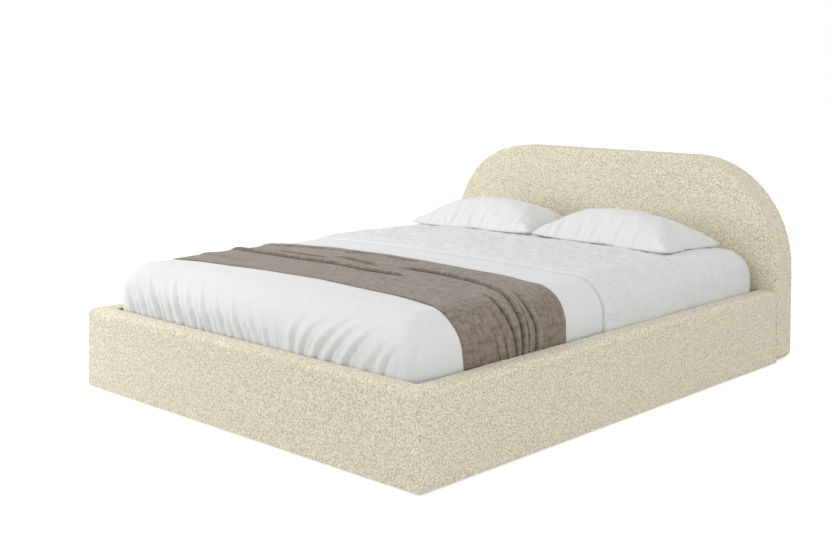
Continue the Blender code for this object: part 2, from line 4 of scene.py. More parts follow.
import bmesh
import bpy
import numpy as np
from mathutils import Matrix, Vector, noise


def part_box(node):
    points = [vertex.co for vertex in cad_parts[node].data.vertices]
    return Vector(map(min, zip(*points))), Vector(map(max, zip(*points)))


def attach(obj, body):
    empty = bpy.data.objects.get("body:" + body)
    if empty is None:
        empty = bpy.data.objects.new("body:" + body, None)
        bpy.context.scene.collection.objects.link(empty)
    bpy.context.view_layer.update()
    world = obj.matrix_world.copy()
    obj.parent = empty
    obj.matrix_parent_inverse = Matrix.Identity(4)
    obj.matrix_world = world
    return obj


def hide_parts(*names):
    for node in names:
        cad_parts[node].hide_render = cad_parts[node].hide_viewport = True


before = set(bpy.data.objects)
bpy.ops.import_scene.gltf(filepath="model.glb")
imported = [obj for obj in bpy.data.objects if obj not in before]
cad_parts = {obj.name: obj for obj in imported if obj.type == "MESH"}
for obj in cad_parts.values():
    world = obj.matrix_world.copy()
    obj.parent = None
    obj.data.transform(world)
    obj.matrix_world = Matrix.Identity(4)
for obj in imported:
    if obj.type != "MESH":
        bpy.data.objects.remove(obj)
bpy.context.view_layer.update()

bl_info = {
    "name": "Storage Bed Upholstery and Bedding",
    "version": (1, 0, 0),
    "blender": (4, 5, 0),
    "location": "3D View > Sidebar > Storage Bed",
    "description": "Covers, bedding, fittings and studio for a lift-up storage bed",
    "category": "Add Mesh",
}

SIDES = (("left", -1), ("right", 1))

# Upholstery
TOP_EDGE_R = 0.020
INNER_EDGE_R = 0.012
CORNER_R = 0.010
HEADBOARD_R = 0.440
HEADBOARD_EDGE_R = 0.022
FINE_STEP = 0.0072
COARSE_STEP = 0.022

# Bedding: the soft form that all the layers follow, and how far each stands off it
FORM_EDGE_R = 0.118
CROWN = 0.014
COVERLET_OFF = 0.0055
TURN_OVER_OFF = 0.0140
THROW_OFF = 0.0105
CLOTH_T = 0.0024
THROW_T = 0.0022
PILLOW_PRESSURE = 5.0
STUFFING_FRAMES = 26

# Fittings
SLATS = 12
HINGE_SCREW_YS = (0.160, 0.240, 0.330, 0.470, 0.592)

# Camera
CAMERA_PLACE = (3.3653, -3.6493, 1.2570)
CAMERA_TURN = math.radians(42.693)
CAMERA_SHIFT = (-0.0482, -0.2619)


def box_of(*nodes):
    """The lowest and highest corners of several nodes of the frame together."""
    corners = np.array([[list(corner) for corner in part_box(node)] for node in nodes])
    return corners[:, 0].min(0), corners[:, 1].max(0)


# ---------------------------------------------------------------- settings


def colour_setting(name, description, default):
    return bpy.props.FloatVectorProperty(name=name, description=description, subtype="COLOR", size=3,
                                         min=0, max=1, default=default)


def number_setting(name, description, default, low=0, high=1e6, **kind):
    return bpy.props.FloatProperty(name=name, description=description, min=low, max=high, default=default,
                                   **kind)


class UpholsterySettings(bpy.types.PropertyGroup):
    boucle_light: colour_setting("Boucle light", "Colour of the raised loops", (0.935, 0.871, 0.690))
    # Painted shade: this dark colour stands for the shade that falls between the loops
    boucle_painted_shade: colour_setting("Boucle painted shade", "Painted shade between the loops", (0.535, 0.485, 0.345))
    nub_size: number_setting("Nub size", "Distance between the raised loops", 0.0031, 0.002, 0.03,
                             subtype="DISTANCE")
    nub_height: number_setting("Nub height", "How far the loops stand out", 0.0022, 0, 0.006,
                               subtype="DISTANCE")


class BeddingSettings(bpy.types.PropertyGroup):
    cotton: colour_setting("Cotton", "Colour of the sheet, coverlet and pillows", (0.745, 0.748, 0.752))
    throw_light: colour_setting("Throw light", "Colour of the throw's weft", (0.385, 0.315, 0.246))
    throw_dark: colour_setting("Throw dark", "Colour of the throw's warp", (0.072, 0.053, 0.039))
    gather_depth: number_setting("Gather depth", "How far the coverlet's gathers stand out at the hem",
                                 0.0080, 0, 0.02, subtype="DISTANCE")
    pillow_size: bpy.props.FloatVectorProperty(
        name="Pillow size", description="Length, depth and height of a pillow", subtype="XYZ",
        unit="LENGTH", size=3, min=0.05, max=1, default=(0.71, 0.415, 0.146))


class StudioSettings(bpy.types.PropertyGroup):
    key_power: number_setting("Overhead panel", "Power of the soft panel above the left side", 22,
                              subtype="POWER")
    fill_strength: number_setting("Fill", "Strength of the light from all round", 0.84)
    side_power: number_setting("Side panels", "Power of the two soft panels at the foot's corners", 44,
                               subtype="POWER")
    floor_glow: number_setting("Floor glow", "Light that comes up through the white floor", 0.15)
    focal_length: number_setting("Focal length", "Lens of the camera", 53.37, 10, unit="CAMERA")


# ---------------------------------------------------------------- mesh helpers


def new_piece(name, data):
    """An object of the scene with this mesh, light or camera."""
    piece = bpy.data.objects.new(name, data)
    bpy.context.scene.collection.objects.link(piece)
    return piece


def add_mesh(name, vertices, faces, smooth=True):
    """A mesh object at the origin, its place in its vertices."""
    mesh = bpy.data.meshes.new(name)
    mesh.from_pydata([tuple(v) for v in vertices], [], [tuple(int(i) for i in f) for f in faces])
    mesh.validate()
    if smooth:
        mesh.shade_smooth()
    return new_piece(name, mesh)


def add_bmesh(name, shape, recalculate=False):
    """A smooth mesh object from a bmesh, which it frees."""
    if recalculate:
        bmesh.ops.recalc_face_normals(shape, faces=shape.faces)
    mesh = bpy.data.meshes.new(name)
    shape.to_mesh(mesh)
    shape.free()
    mesh.shade_smooth()
    return new_piece(name, mesh)


def apply_modifiers(piece):
    """Turns what the modifiers make into the piece's own mesh."""
    bpy.context.view_layer.update()
    evaluated = piece.evaluated_get(bpy.context.evaluated_depsgraph_get())
    made = bpy.data.meshes.new_from_object(evaluated)
    piece.modifiers.clear()
    old = piece.data
    piece.data = made
    if old.users == 0:
        bpy.data.meshes.remove(old)
    return piece


def thicken(piece, thickness):
    """Gives cloth its thickness, inwards."""
    wall = piece.modifiers.new("cloth thickness", "SOLIDIFY")
    wall.thickness = thickness
    wall.offset = -1
    return apply_modifiers(piece)


def places(mesh, what="co"):
    """Where each vertex is, or another vector of it."""
    found = np.empty(len(mesh.vertices) * 3)
    mesh.vertices.foreach_get(what, found)
    return found.reshape(-1, 3)


def set_places(mesh, found):
    mesh.vertices.foreach_set("co", np.asarray(found, float).ravel())
    mesh.update()


def smooth_step(low, high, value):
    t = np.clip((value - low) / (high - low), 0, 1)
    return t * t * (3 - 2 * t)


def ripple(points, scale, shift, octaves=2):
    """Smooth noise at each point, its grain scaled along each axis."""
    scale, shift = Vector(scale), Vector(shift)
    return np.array([noise.fractal(Vector(p) * scale + shift, 0.9, 2.1, octaves) for p in points])


def spread(low, high, step):
    return np.linspace(low, high, max(2, int(round((high - low) / step)) + 1))


def grid_faces(rows, columns, start=0):
    """Quads of a grid of points, counted row by row."""
    i, j = np.meshgrid(np.arange(rows - 1), np.arange(columns - 1), indexing="ij")
    corner = (start + i * columns + j).ravel()
    return np.stack((corner, corner + columns, corner + columns + 1, corner + 1), axis=1)


def open_box(xs, ys, zs, ends):
    """Points and quads of a box with no bottom, with a grid on each face, all facing out."""
    top = zs[-1]
    patches = [(np.array([[(x, y, top) for y in ys] for x in xs]), False)]
    for side in (0, -1):
        patches.append((np.array([[(xs[side], y, z) for z in zs] for y in ys]), side == 0))
    for end in ends:
        row = 0 if end == "foot" else -1
        patches.append((np.array([[(x, ys[row], z) for z in zs] for x in xs]), end == "head"))
    points, faces = [], []
    for patch, turned in patches:
        quads = grid_faces(patch.shape[0], patch.shape[1], sum(len(p) for p in points))
        faces.append(quads[:, ::-1] if turned else quads)
        points.append(patch.reshape(-1, 3))
    points, faces = np.concatenate(points), np.concatenate(faces)
    _, first, index = np.unique(np.round(points, 5), axis=0, return_index=True, return_inverse=True)
    return points[first], index.reshape(-1)[faces]


# ---------------------------------------------------------------- shader groups


def socket(tree, name, kind, default=None, output=False):
    made = tree.interface.new_socket(name, in_out="OUTPUT" if output else "INPUT", socket_type=kind)
    if default is not None:
        made.default_value = default
    return made


class Nodes:
    """Adds nodes to a tree and joins them, with plain values or other nodes' outputs as inputs."""

    def __init__(self, tree):
        self.tree = tree

    def join(self, value, target):
        if isinstance(value, bpy.types.NodeSocket):
            self.tree.links.new(value, target)
        elif value is not None:
            target.default_value = value

    def add(self, kind, inputs=None, **settings):
        node = self.tree.nodes.new(kind)
        for key, value in settings.items():
            setattr(node, key, value)
        for key, value in (inputs or {}).items():
            self.join(value, node.inputs[key])
        return node

    def math(self, operation, first, second=0.0, clamp=False):
        node = self.add("ShaderNodeMath", {0: first, 1: second}, operation=operation, use_clamp=clamp)
        return node.outputs[0]

    def ramp(self, value, low, high):
        """Maps low to high onto 0 to 1."""
        node = self.add("ShaderNodeMapRange", {"Value": value, "From Min": low, "From Max": high},
                        clamp=True)
        return node.outputs["Result"]

    def mix(self, share, first, second):
        node = self.add("ShaderNodeMix", data_type="RGBA")
        self.join(share, node.inputs["Factor"])
        self.join(first, node.inputs["A"])
        self.join(second, node.inputs["B"])
        return node.outputs["Result"]

    def noise(self, vector, scale, detail=2.0, distortion=0.0):
        node = self.add("ShaderNodeTexNoise", {"Vector": vector, "Scale": scale, "Detail": detail,
                                               "Distortion": distortion})
        return node.outputs["Fac"]

    def stretch(self, vector, scale, rotation=(0, 0, 0)):
        node = self.add("ShaderNodeMapping", {"Vector": vector, "Scale": scale, "Rotation": rotation})
        return node.outputs["Vector"]


def shader_group(name, numbers, outputs):
    """A shader node group that takes a vector and these numbers, with its input and output nodes."""
    group = bpy.data.node_groups.new(name, "ShaderNodeTree")
    socket(group, "Vector", "NodeSocketVector")
    for key, default in numbers.items():
        socket(group, key, "NodeSocketFloat", default)
    for key in outputs:
        socket(group, key, "NodeSocketFloat", output=True)
    build = Nodes(group)
    return group, build, build.add("NodeGroupInput").outputs, build.add("NodeGroupOutput").inputs


def looped_pile_group():
    """Bunched loops of wool: a height, and a tone with painted shade in the hollows between them and
    random tone over broader patches.
    """
    group, build, given, result = shader_group("Looped pile", {"Nub Size": 0.0031}, ("Height", "Tone And Shade"))
    count = build.math("DIVIDE", 0.62, given["Nub Size"])
    loops = build.noise(given["Vector"], count, 1.0, 0.8)
    broad = build.noise(given["Vector"], build.math("MULTIPLY", count, 0.3), 2.0)
    # Painted shade: the tone is darkest where the loops are lowest; the broad noise is random tone
    tone = build.math("ADD", loops, build.math("MULTIPLY", build.math("SUBTRACT", broad, 0.5), 0.10))
    build.join(loops, result["Height"])
    build.join(build.ramp(tone, 0.38, 0.56), result["Tone And Shade"])
    return group


def weave_group():
    """Plain weave with uneven threads: which thread is on top, its height, and slubs along it."""
    group, build, given, result = shader_group(
        "Uneven weave", {"Thread Width": 0.002, "Slub": 0.5}, ("Height", "Warp", "Slubs"))
    count = build.math("DIVIDE", math.pi, given["Thread Width"])
    wobble = build.add("ShaderNodeTexNoise", {"Vector": given["Vector"], "Scale": 60.0, "Detail": 2.0})
    shift = build.add("ShaderNodeVectorMath", {0: wobble.outputs["Color"]}, operation="SCALE")
    build.join(build.math("MULTIPLY", given["Thread Width"], given["Slub"]), shift.inputs["Scale"])
    moved = build.add("ShaderNodeVectorMath", {0: given["Vector"], 1: shift.outputs[0]}, operation="ADD")
    axes = build.add("ShaderNodeSeparateXYZ", {0: moved.outputs[0]})
    along = build.math("SINE", build.math("MULTIPLY", axes.outputs["X"], count))
    across = build.math("SINE", build.math("MULTIPLY", axes.outputs["Y"], count))
    over = build.math("MULTIPLY", along, across)
    lift = build.math("ADD", build.math("ABSOLUTE", along), build.math("ABSOLUTE", across))
    build.join(build.math("MULTIPLY", lift, 0.5), result["Height"])
    build.join(build.ramp(over, -0.5, 0.5), result["Warp"])
    rows = build.noise(build.stretch(given["Vector"], (8.0, 260.0, 1.0)), 1.0, 2.0)
    columns = build.noise(build.stretch(given["Vector"], (260.0, 8.0, 1.0)), 1.0, 2.0)
    build.join(build.ramp(build.math("ADD", rows, columns), 0.7, 1.3), result["Slubs"])
    return group


def crease_group():
    """Soft creases left by folding and pressing, as a height."""
    group, build, given, result = shader_group("Cloth creases", {"Size": 0.1}, ("Height",))
    count = build.math("DIVIDE", 1.0, given["Size"])
    wide = build.noise(given["Vector"], count, 3.0, 1.2)
    folds = build.math("ABSOLUTE", build.math("SUBTRACT", wide, 0.5))
    build.join(build.math("POWER", build.math("MULTIPLY", folds, 2.0), 0.6), result["Height"])
    return group


def dust_group():
    """Faint uneven dulling, as a mask."""
    group, build, given, result = shader_group("Handling marks", {"Scale": 6.0}, ("Mask",))
    cloudy = build.noise(given["Vector"], given["Scale"], 5.0, 0.4)
    build.join(build.ramp(cloudy, 0.40, 0.68), result["Mask"])
    return group


class Finishes:
    """The materials, each made once."""

    def __init__(self):
        self.made = {}
        self.groups = {}

    def group(self, maker):
        if maker not in self.groups:
            self.groups[maker] = maker()
        return self.groups[maker]

    def start(self, name, roughness, metallic=0.0, **constants):
        material = bpy.data.materials.new(name)
        material.use_nodes = True
        build = Nodes(material.node_tree)
        shader = material.node_tree.nodes["Principled BSDF"]
        shader.inputs["Roughness"].default_value = roughness
        shader.inputs["Metallic"].default_value = metallic
        for key, value in constants.items():
            shader.inputs[key.replace("_", " ")].default_value = value
        coordinates = build.add("ShaderNodeTexCoord").outputs
        return material, build, shader, coordinates

    def use(self, build, maker, inputs):
        node = build.add("ShaderNodeGroup", node_tree=self.group(maker))
        for key, value in inputs.items():
            build.join(value, node.inputs[key])
        return node.outputs

    def bump(self, build, shader, height, distance, strength=1.0):
        node = build.add("ShaderNodeBump", {"Height": height, "Distance": distance, "Strength": strength})
        build.join(node.outputs["Normal"], shader.inputs["Normal"])

    def colour(self, build, shader, share, first, second):
        """Runs the colour from first to second as share goes from 0 to 1."""
        build.join(build.mix(share, (*first, 1), (*second, 1)), shader.inputs["Base Color"])

    def get(self, name):
        if name not in self.made:
            self.made[name] = getattr(self, name)()
        return self.made[name]

    def boucle(self):
        settings = bpy.context.scene.bed_upholstery
        material, build, shader, given = self.start("boucle wool", 0.95, Sheen_Weight=0.25,
                                                    Sheen_Roughness=0.6, Specular_IOR_Level=0.2)
        pile = self.use(build, looped_pile_group, {"Vector": given["Object"],
                                                   "Nub Size": settings.nub_size})
        # Painted shade between the loops: the hollows take the painted shade colour, the loops their own
        # colour
        self.colour(build, shader, pile["Tone And Shade"], settings.boucle_painted_shade, settings.boucle_light)
        self.bump(build, shader, pile["Height"], 0.0045)
        return material

    def cotton(self, name, crease_size, crease_painted_shade):
        """White cotton with a fine weave and creases of this size and depth."""
        settings = bpy.context.scene.bed_bedding
        material, build, shader, given = self.start(name, 0.85, Sheen_Weight=0.12,
                                                    Specular_IOR_Level=0.25)
        threads = self.use(build, weave_group, {"Vector": given["Object"], "Thread Width": 0.0011})
        creases = self.use(build, crease_group, {"Vector": given["Object"], "Size": crease_size})
        shade = tuple(0.965 * c for c in settings.cotton)
        self.colour(build, shader, threads["Slubs"], shade, settings.cotton)
        height = build.math("ADD", build.math("MULTIPLY", creases["Height"], crease_painted_shade),
                            build.math("MULTIPLY", threads["Height"], 0.00008))
        self.bump(build, shader, height, 1.0)
        return material

    def coverlet_cotton(self):
        return self.cotton("coverlet cotton", 0.45, 0.0006)

    def sheet_cotton(self):
        return self.cotton("sheet cotton", 0.055, 0.0034)

    def pillow_cotton(self):
        return self.cotton("pillow cotton", 0.11, 0.0016)

    def ticking(self):
        material, build, shader, given = self.start("mattress ticking", 0.9, Sheen_Weight=0.1)
        threads = self.use(build, weave_group, {"Vector": given["Object"], "Thread Width": 0.0022})
        quilting = build.add("ShaderNodeTexVoronoi", {"Vector": given["Object"], "Scale": 11.0},
                             feature="DISTANCE_TO_EDGE")
        seam = build.ramp(quilting.outputs["Distance"], 0.0, 0.12)
        self.colour(build, shader, threads["Warp"], (0.62, 0.61, 0.58), (0.74, 0.73, 0.70))
        height = build.math("ADD", build.math("MULTIPLY", seam, 0.003),
                            build.math("MULTIPLY", threads["Height"], 0.0002))
        self.bump(build, shader, height, 1.0)
        return material

    def throw_weave(self):
        settings = bpy.context.scene.bed_bedding
        material, build, shader, given = self.start("throw weave", 0.92, Sheen_Weight=0.36,
                                                    Sheen_Roughness=0.5, Specular_IOR_Level=0.2)
        threads = self.use(build, weave_group, {"Vector": given["UV"], "Thread Width": 0.0042,
                                                "Slub": 0.5})
        mottle = build.noise(given["UV"], 48.0, 5.0, 0.5)
        share = build.math("ADD", build.math("MULTIPLY", threads["Warp"], 0.62),
                           build.math("MULTIPLY", threads["Slubs"], 0.42))
        share = build.math("ADD", share, build.math("MULTIPLY", build.math("SUBTRACT", mottle, 0.5), 1.3),
                           clamp=True)
        woven = build.mix(share, (*settings.throw_dark, 1), (*settings.throw_light, 1))
        depth = build.add("ShaderNodeAttribute", attribute_name="crease_painted_shade").outputs["Fac"]
        shade = tuple(0.35 * c for c in settings.throw_dark)
        creased = build.mix(build.math("MULTIPLY", depth, 0.85), woven, (*shade, 1))
        build.join(creased, shader.inputs["Base Color"])
        height = build.math("ADD", threads["Height"], build.math("MULTIPLY", mottle, 0.6))
        self.bump(build, shader, height, 0.0012)
        return material

    def woven(self, name, roughness, thread, dark, light, depth, by="Warp", upright=False, slub=0.5,
              sheen=0.1):
        """Plain woven cloth of two colours; upright turns the weave for cloth that hangs."""
        material, build, shader, given = self.start(name, roughness, Sheen_Weight=sheen)
        place = given["Object"]
        if upright:
            place = build.stretch(place, (1, 1, 1), (math.pi / 2, 0, 0))
        threads = self.use(build, weave_group, {"Vector": place, "Thread Width": thread, "Slub": slub})
        self.colour(build, shader, threads[by], dark, light)
        self.bump(build, shader, threads["Height"], depth)
        return material

    def lining(self):
        return self.woven("woven lining", 0.95, 0.0016, (0.30, 0.28, 0.24), (0.44, 0.41, 0.35), 0.0006,
                          upright=True)

    def dark_lining(self):
        return self.woven("dark lining cloth", 0.95, 0.0016, (0.012, 0.012, 0.012),
                          (0.028, 0.027, 0.026), 0.0006, by="Slubs", sheen=0.0)

    def webbing(self):
        return self.woven("black webbing", 0.85, 0.0018, (0.012, 0.012, 0.013), (0.05, 0.05, 0.052),
                          0.0008, upright=True, slub=0.1)

    def piping(self):
        return self.woven("mattress piping", 0.85, 0.0015, (0.36, 0.35, 0.33), (0.50, 0.49, 0.47), 0.0004)

    def wood(self, name, pale, dark, grain, roughness, gloss=0.0):
        """Grain runs along the axis whose scale in grain is smallest."""
        material, build, shader, given = self.start(name, roughness, Coat_Weight=gloss)
        lines = build.noise(build.stretch(given["Object"], grain), 1.0, 6.0, 1.4)
        pores = build.noise(build.stretch(given["Object"], tuple(8 * g for g in grain)), 1.0, 2.0)
        share = build.ramp(build.math("ADD", lines, build.math("MULTIPLY", pores, 0.25)), 0.42, 0.78)
        self.colour(build, shader, share, pale, dark)
        self.bump(build, shader, build.math("SUBTRACT", 1.0, pores), 0.0004)
        return material

    def timber(self):
        return self.wood("planed softwood", (0.66, 0.47, 0.28), (0.40, 0.24, 0.12), (14, 1.5, 22), 0.62)

    def cross_timber(self):
        return self.wood("planed softwood, crosswise", (0.66, 0.47, 0.28), (0.40, 0.24, 0.12),
                         (1.5, 14, 22), 0.62)

    def slat_wood(self):
        return self.wood("lacquered beech", (0.72, 0.54, 0.34), (0.52, 0.35, 0.19), (2.0, 60, 60),
                         0.35, 0.3)

    def black_board(self):
        return self.wood("black board", (0.012, 0.012, 0.012), (0.030, 0.029, 0.028), (1.5, 30, 30), 0.7)

    def worn(self, name, scale, clean, dulled, roughness, metallic=0.0, dulling=0.0, grain=0.0, coat=0.0):
        """A hard surface, dulled in patches; grain is how many specks of it there are to a metre."""
        material, build, shader, given = self.start(name, roughness, metallic, Coat_Weight=coat)
        mask = self.use(build, dust_group, {"Vector": given["Object"], "Scale": scale})["Mask"]
        self.colour(build, shader, mask, clean, dulled)
        if dulling:
            build.join(build.math("ADD", roughness, build.math("MULTIPLY", mask, dulling)),
                       shader.inputs["Roughness"])
        if grain:
            self.bump(build, shader, build.noise(given["Object"], grain), 0.0002)
        return material

    def painted_steel(self):
        return self.worn("powder-coated steel", 9.0, (0.020, 0.020, 0.021), (0.040, 0.039, 0.038), 0.38,
                         dulling=0.22, grain=900.0, coat=0.1)

    def bright_steel(self):
        return self.worn("plated rod", 40.0, (0.80, 0.80, 0.81), (0.62, 0.62, 0.63), 0.14, 1.0,
                         dulling=0.16)

    def zinc(self):
        return self.worn("zinc screws", 160.0, (0.60, 0.60, 0.58), (0.40, 0.39, 0.36), 0.35, 1.0)

    def glide_plastic(self):
        return self.worn("glide plastic", 60.0, (0.03, 0.03, 0.03), (0.07, 0.07, 0.068), 0.6, grain=600.0)

    def thread(self):
        material, build, shader, given = self.start("sewing thread", 0.8, Sheen_Weight=0.2)
        twist = build.noise(given["Object"], 800.0)
        self.colour(build, shader, twist, (0.30, 0.25, 0.21), (0.52, 0.46, 0.40))
        return material


finishes = Finishes()


def finish_piece(piece, body, finish, replaced=()):
    """Gives a piece its material, its body and the nodes that it stands for."""
    if finish:
        piece.data.materials.clear()
        piece.data.materials.append(finishes.get(finish))
    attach(piece, body)
    if replaced:
        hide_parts(*replaced)
    return piece


# ---------------------------------------------------------------- geometry node trees


def geometry_tree(name, numbers):
    """A Geometry Nodes tree with a geometry, these numbers and a material as inputs."""
    tree = bpy.data.node_groups.new(name, "GeometryNodeTree")
    socket(tree, "Geometry", "NodeSocketGeometry")
    for key, default in numbers.items():
        socket(tree, key, "NodeSocketFloat", default)
    socket(tree, "Material", "NodeSocketMaterial")
    socket(tree, "Geometry", "NodeSocketGeometry", output=True)
    build = Nodes(tree)
    return tree, build, build.add("NodeGroupInput").outputs


def end_tree(build, geometry, material):
    """Realizes what the tree made and sets its material."""
    real = build.add("GeometryNodeRealizeInstances", {"Geometry": geometry})
    coated = build.add("GeometryNodeSetMaterial", {"Geometry": real.outputs[0], "Material": material})
    build.join(coated.outputs[0], build.add("NodeGroupOutput").inputs[0])


def nubby_pile_tree():
    """Raises a cloth's surface into uneven nubs, over a slower swell of the padding."""
    tree, build, given = geometry_tree("Nubby pile", {
        "Nub Size": 0.0031, "Nub Height": 0.0022, "Swell Height": 0.002, "Seed": 3.0})
    count = build.math("DIVIDE", 0.20, given["Nub Size"])
    place = build.add("GeometryNodeInputPosition").outputs[0]
    nubs, swell = (build.add("ShaderNodeTexNoise", {"W": given["Seed"], "Scale": scale, "Detail": 1.0,
                                                    "Vector": place}, noise_dimensions="4D")
                   for scale in (count, 3.2))
    rise = build.math("MULTIPLY", build.math("SUBTRACT", nubs.outputs[0], 0.5),
                      build.math("MULTIPLY", given["Nub Height"], 1.8))
    lift = build.math("MULTIPLY", build.math("SUBTRACT", swell.outputs[0], 0.5), given["Swell Height"])
    facing = build.add("GeometryNodeInputNormal").outputs[0]
    push = build.add("ShaderNodeVectorMath", {0: facing}, operation="SCALE")
    build.join(build.math("ADD", rise, lift), push.inputs["Scale"])
    moved = build.add("GeometryNodeSetPosition", {"Geometry": given["Geometry"],
                                                  "Offset": push.outputs[0]})
    end_tree(build, moved.outputs[0], given["Material"])
    return tree


def fastener_tree():
    """Sets a low round screw head on each point, standing along the point's own direction."""
    tree, build, given = geometry_tree("Fasteners", {"Head Radius": 0.005, "Head Height": 0.0025})
    head = build.add("GeometryNodeMeshCone", {"Vertices": 14, "Side Segments": 1, "Fill Segments": 1})
    build.join(build.math("MULTIPLY", given["Head Radius"], 0.62), head.inputs["Radius Top"])
    build.join(given["Head Radius"], head.inputs["Radius Bottom"])
    build.join(given["Head Height"], head.inputs["Depth"])
    facing = build.add("GeometryNodeInputNamedAttribute", {"Name": "facing"}, data_type="FLOAT_VECTOR")
    turn = build.add("FunctionNodeAlignRotationToVector", {"Vector": facing.outputs[0]}, axis="Z")
    points = build.add("GeometryNodeMeshToPoints", {"Mesh": given["Geometry"]})
    heads = build.add("GeometryNodeInstanceOnPoints", {
        "Points": points.outputs[0], "Instance": head.outputs[0], "Rotation": turn.outputs[0]})
    end_tree(build, heads.outputs[0], given["Material"])
    return tree


def stitch_tree():
    """Sews a row of short stitches along an edge path."""
    tree, build, given = geometry_tree("Stitch row", {
        "Spacing": 0.007, "Stitch Length": 0.0045, "Thread Radius": 0.0006})
    path = build.add("GeometryNodeMeshToCurve", {"Mesh": given["Geometry"]})
    evenly = build.add("GeometryNodeResampleCurve", {"Curve": path.outputs[0], "Length": given["Spacing"]},
                       mode="LENGTH")
    stitch = build.add("GeometryNodeMeshCylinder", {"Vertices": 6})
    build.join(given["Thread Radius"], stitch.inputs["Radius"])
    build.join(given["Stitch Length"], stitch.inputs["Depth"])
    heading = build.add("GeometryNodeInputTangent").outputs[0]
    turn = build.add("FunctionNodeAlignRotationToVector", {"Vector": heading}, axis="Z")
    row = build.add("GeometryNodeInstanceOnPoints", {
        "Points": evenly.outputs[0], "Instance": stitch.outputs[0], "Rotation": turn.outputs[0]})
    end_tree(build, row.outputs[0], given["Material"])
    return tree


def welt_tree():
    """Runs a round piping along an edge path."""
    tree, build, given = geometry_tree("Welt", {"Welt Radius": 0.004})
    path = build.add("GeometryNodeMeshToCurve", {"Mesh": given["Geometry"]})
    evenly = build.add("GeometryNodeResampleCurve", {"Curve": path.outputs[0], "Length": 0.012},
                       mode="LENGTH")
    section = build.add("GeometryNodeCurvePrimitiveCircle", {"Resolution": 10})
    build.join(given["Welt Radius"], section.inputs["Radius"])
    swept = build.add("GeometryNodeCurveToMesh", {"Curve": evenly.outputs[0],
                                                  "Profile Curve": section.outputs[0]})
    end_tree(build, swept.outputs[0], given["Material"])
    return tree


trees = {}


def run_tree(piece, maker, numbers, finish):
    """Runs a Geometry Nodes tree on a piece with these numbers and finish, and keeps its plain mesh."""
    values = {**numbers, "Material": finishes.get(finish)}
    if maker not in trees:
        trees[maker] = maker()
    tree = trees[maker]
    modifier = piece.modifiers.new(tree.name, "NODES")
    modifier.node_group = tree
    for item in tree.interface.items_tree:
        if item.item_type == "SOCKET" and item.in_out == "INPUT" and item.name in values:
            modifier[item.identifier] = values[item.name]
    return apply_modifiers(piece)


def points_piece(name, spots):
    """A mesh of loose points, each with the direction that it faces."""
    piece = add_mesh(name, [place for place, _ in spots], [], smooth=False)
    facing = piece.data.attributes.new("facing", "FLOAT_VECTOR", "POINT")
    facing.data.foreach_set("vector", np.array([f for _, f in spots], float).ravel())
    return piece


def path_piece(name, paths):
    """A mesh of edges along each path."""
    mesh = bpy.data.meshes.new(name)
    points = [tuple(p) for path in paths for p in path]
    edges, start = [], 0
    for path in paths:
        edges += [(start + i, start + i + 1) for i in range(len(path) - 1)]
        start += len(path)
    mesh.from_pydata(points, edges, [])
    return new_piece(name, mesh)


def smooth_mesh(piece, angle=None):
    piece.data.shade_smooth()
    if angle:
        piece.data.set_sharp_from_angle(angle=math.radians(angle))
    return piece


# ---------------------------------------------------------------- upholstery


def arc_points(centre, radius, start, end, steps):
    angles = np.radians(np.linspace(start, end, steps + 1))
    return [(centre[0] + radius * math.cos(a), centre[1] + radius * math.sin(a)) for a in angles]


def raise_pile(piece, swell):
    settings = bpy.context.scene.bed_upholstery
    run_tree(piece, nubby_pile_tree, {
        "Nub Size": settings.nub_size, "Nub Height": settings.nub_height, "Swell Height": swell,
        "Seed": 3.0}, "boucle")
    return smooth_mesh(piece)


def rail_stations(outer, inner, head_y):
    """Matching outer and inner points along the rails, from the left head end round to the right one."""
    half, foot = outer
    inner_half, inner_foot = inner
    turn_y = foot + CORNER_R
    left = [((-half, y), (-inner_half, max(y, inner_foot)))
            for y in spread(turn_y, head_y, FINE_STEP)[::-1]]
    bend = arc_points((-half + CORNER_R, turn_y), CORNER_R, 180, 270, 6)[1:-1]
    left += [(point, (-inner_half, inner_foot)) for point in bend]
    flat = [((x, foot), (min(max(x, -inner_half), inner_half), inner_foot))
            for x in spread(-half + CORNER_R, half - CORNER_R, FINE_STEP)]
    right = [((-x, y), (-a, b)) for (x, y), (a, b) in left[::-1]]
    return left + flat + right


def rail_section(top):
    """Steps across the section, as (share of the way to the inner face, distance in from it, height)."""
    outside = [("outer", 0.0, z) for z in spread(0.004, top - TOP_EDGE_R, FINE_STEP)]
    outside += [("outer", TOP_EDGE_R - TOP_EDGE_R * math.cos(a),
                 top - TOP_EDGE_R + TOP_EDGE_R * math.sin(a)) for a in np.linspace(0, math.pi / 2, 7)[1:]]
    middle = [("between", share, top + 0.0015 * math.sin(math.pi * share))
              for share in (0.2, 0.4, 0.6, 0.8)]
    inside = [("inner", INNER_EDGE_R - INNER_EDGE_R * math.cos(a),
               top - INNER_EDGE_R + INNER_EDGE_R * math.sin(a)) for a in np.linspace(math.pi / 2, 0, 6)]
    inside += [("inner", 0.0, z) for z in spread(0.010, top - INNER_EDGE_R, COARSE_STEP)[::-1][1:]]
    return outside + middle + inside


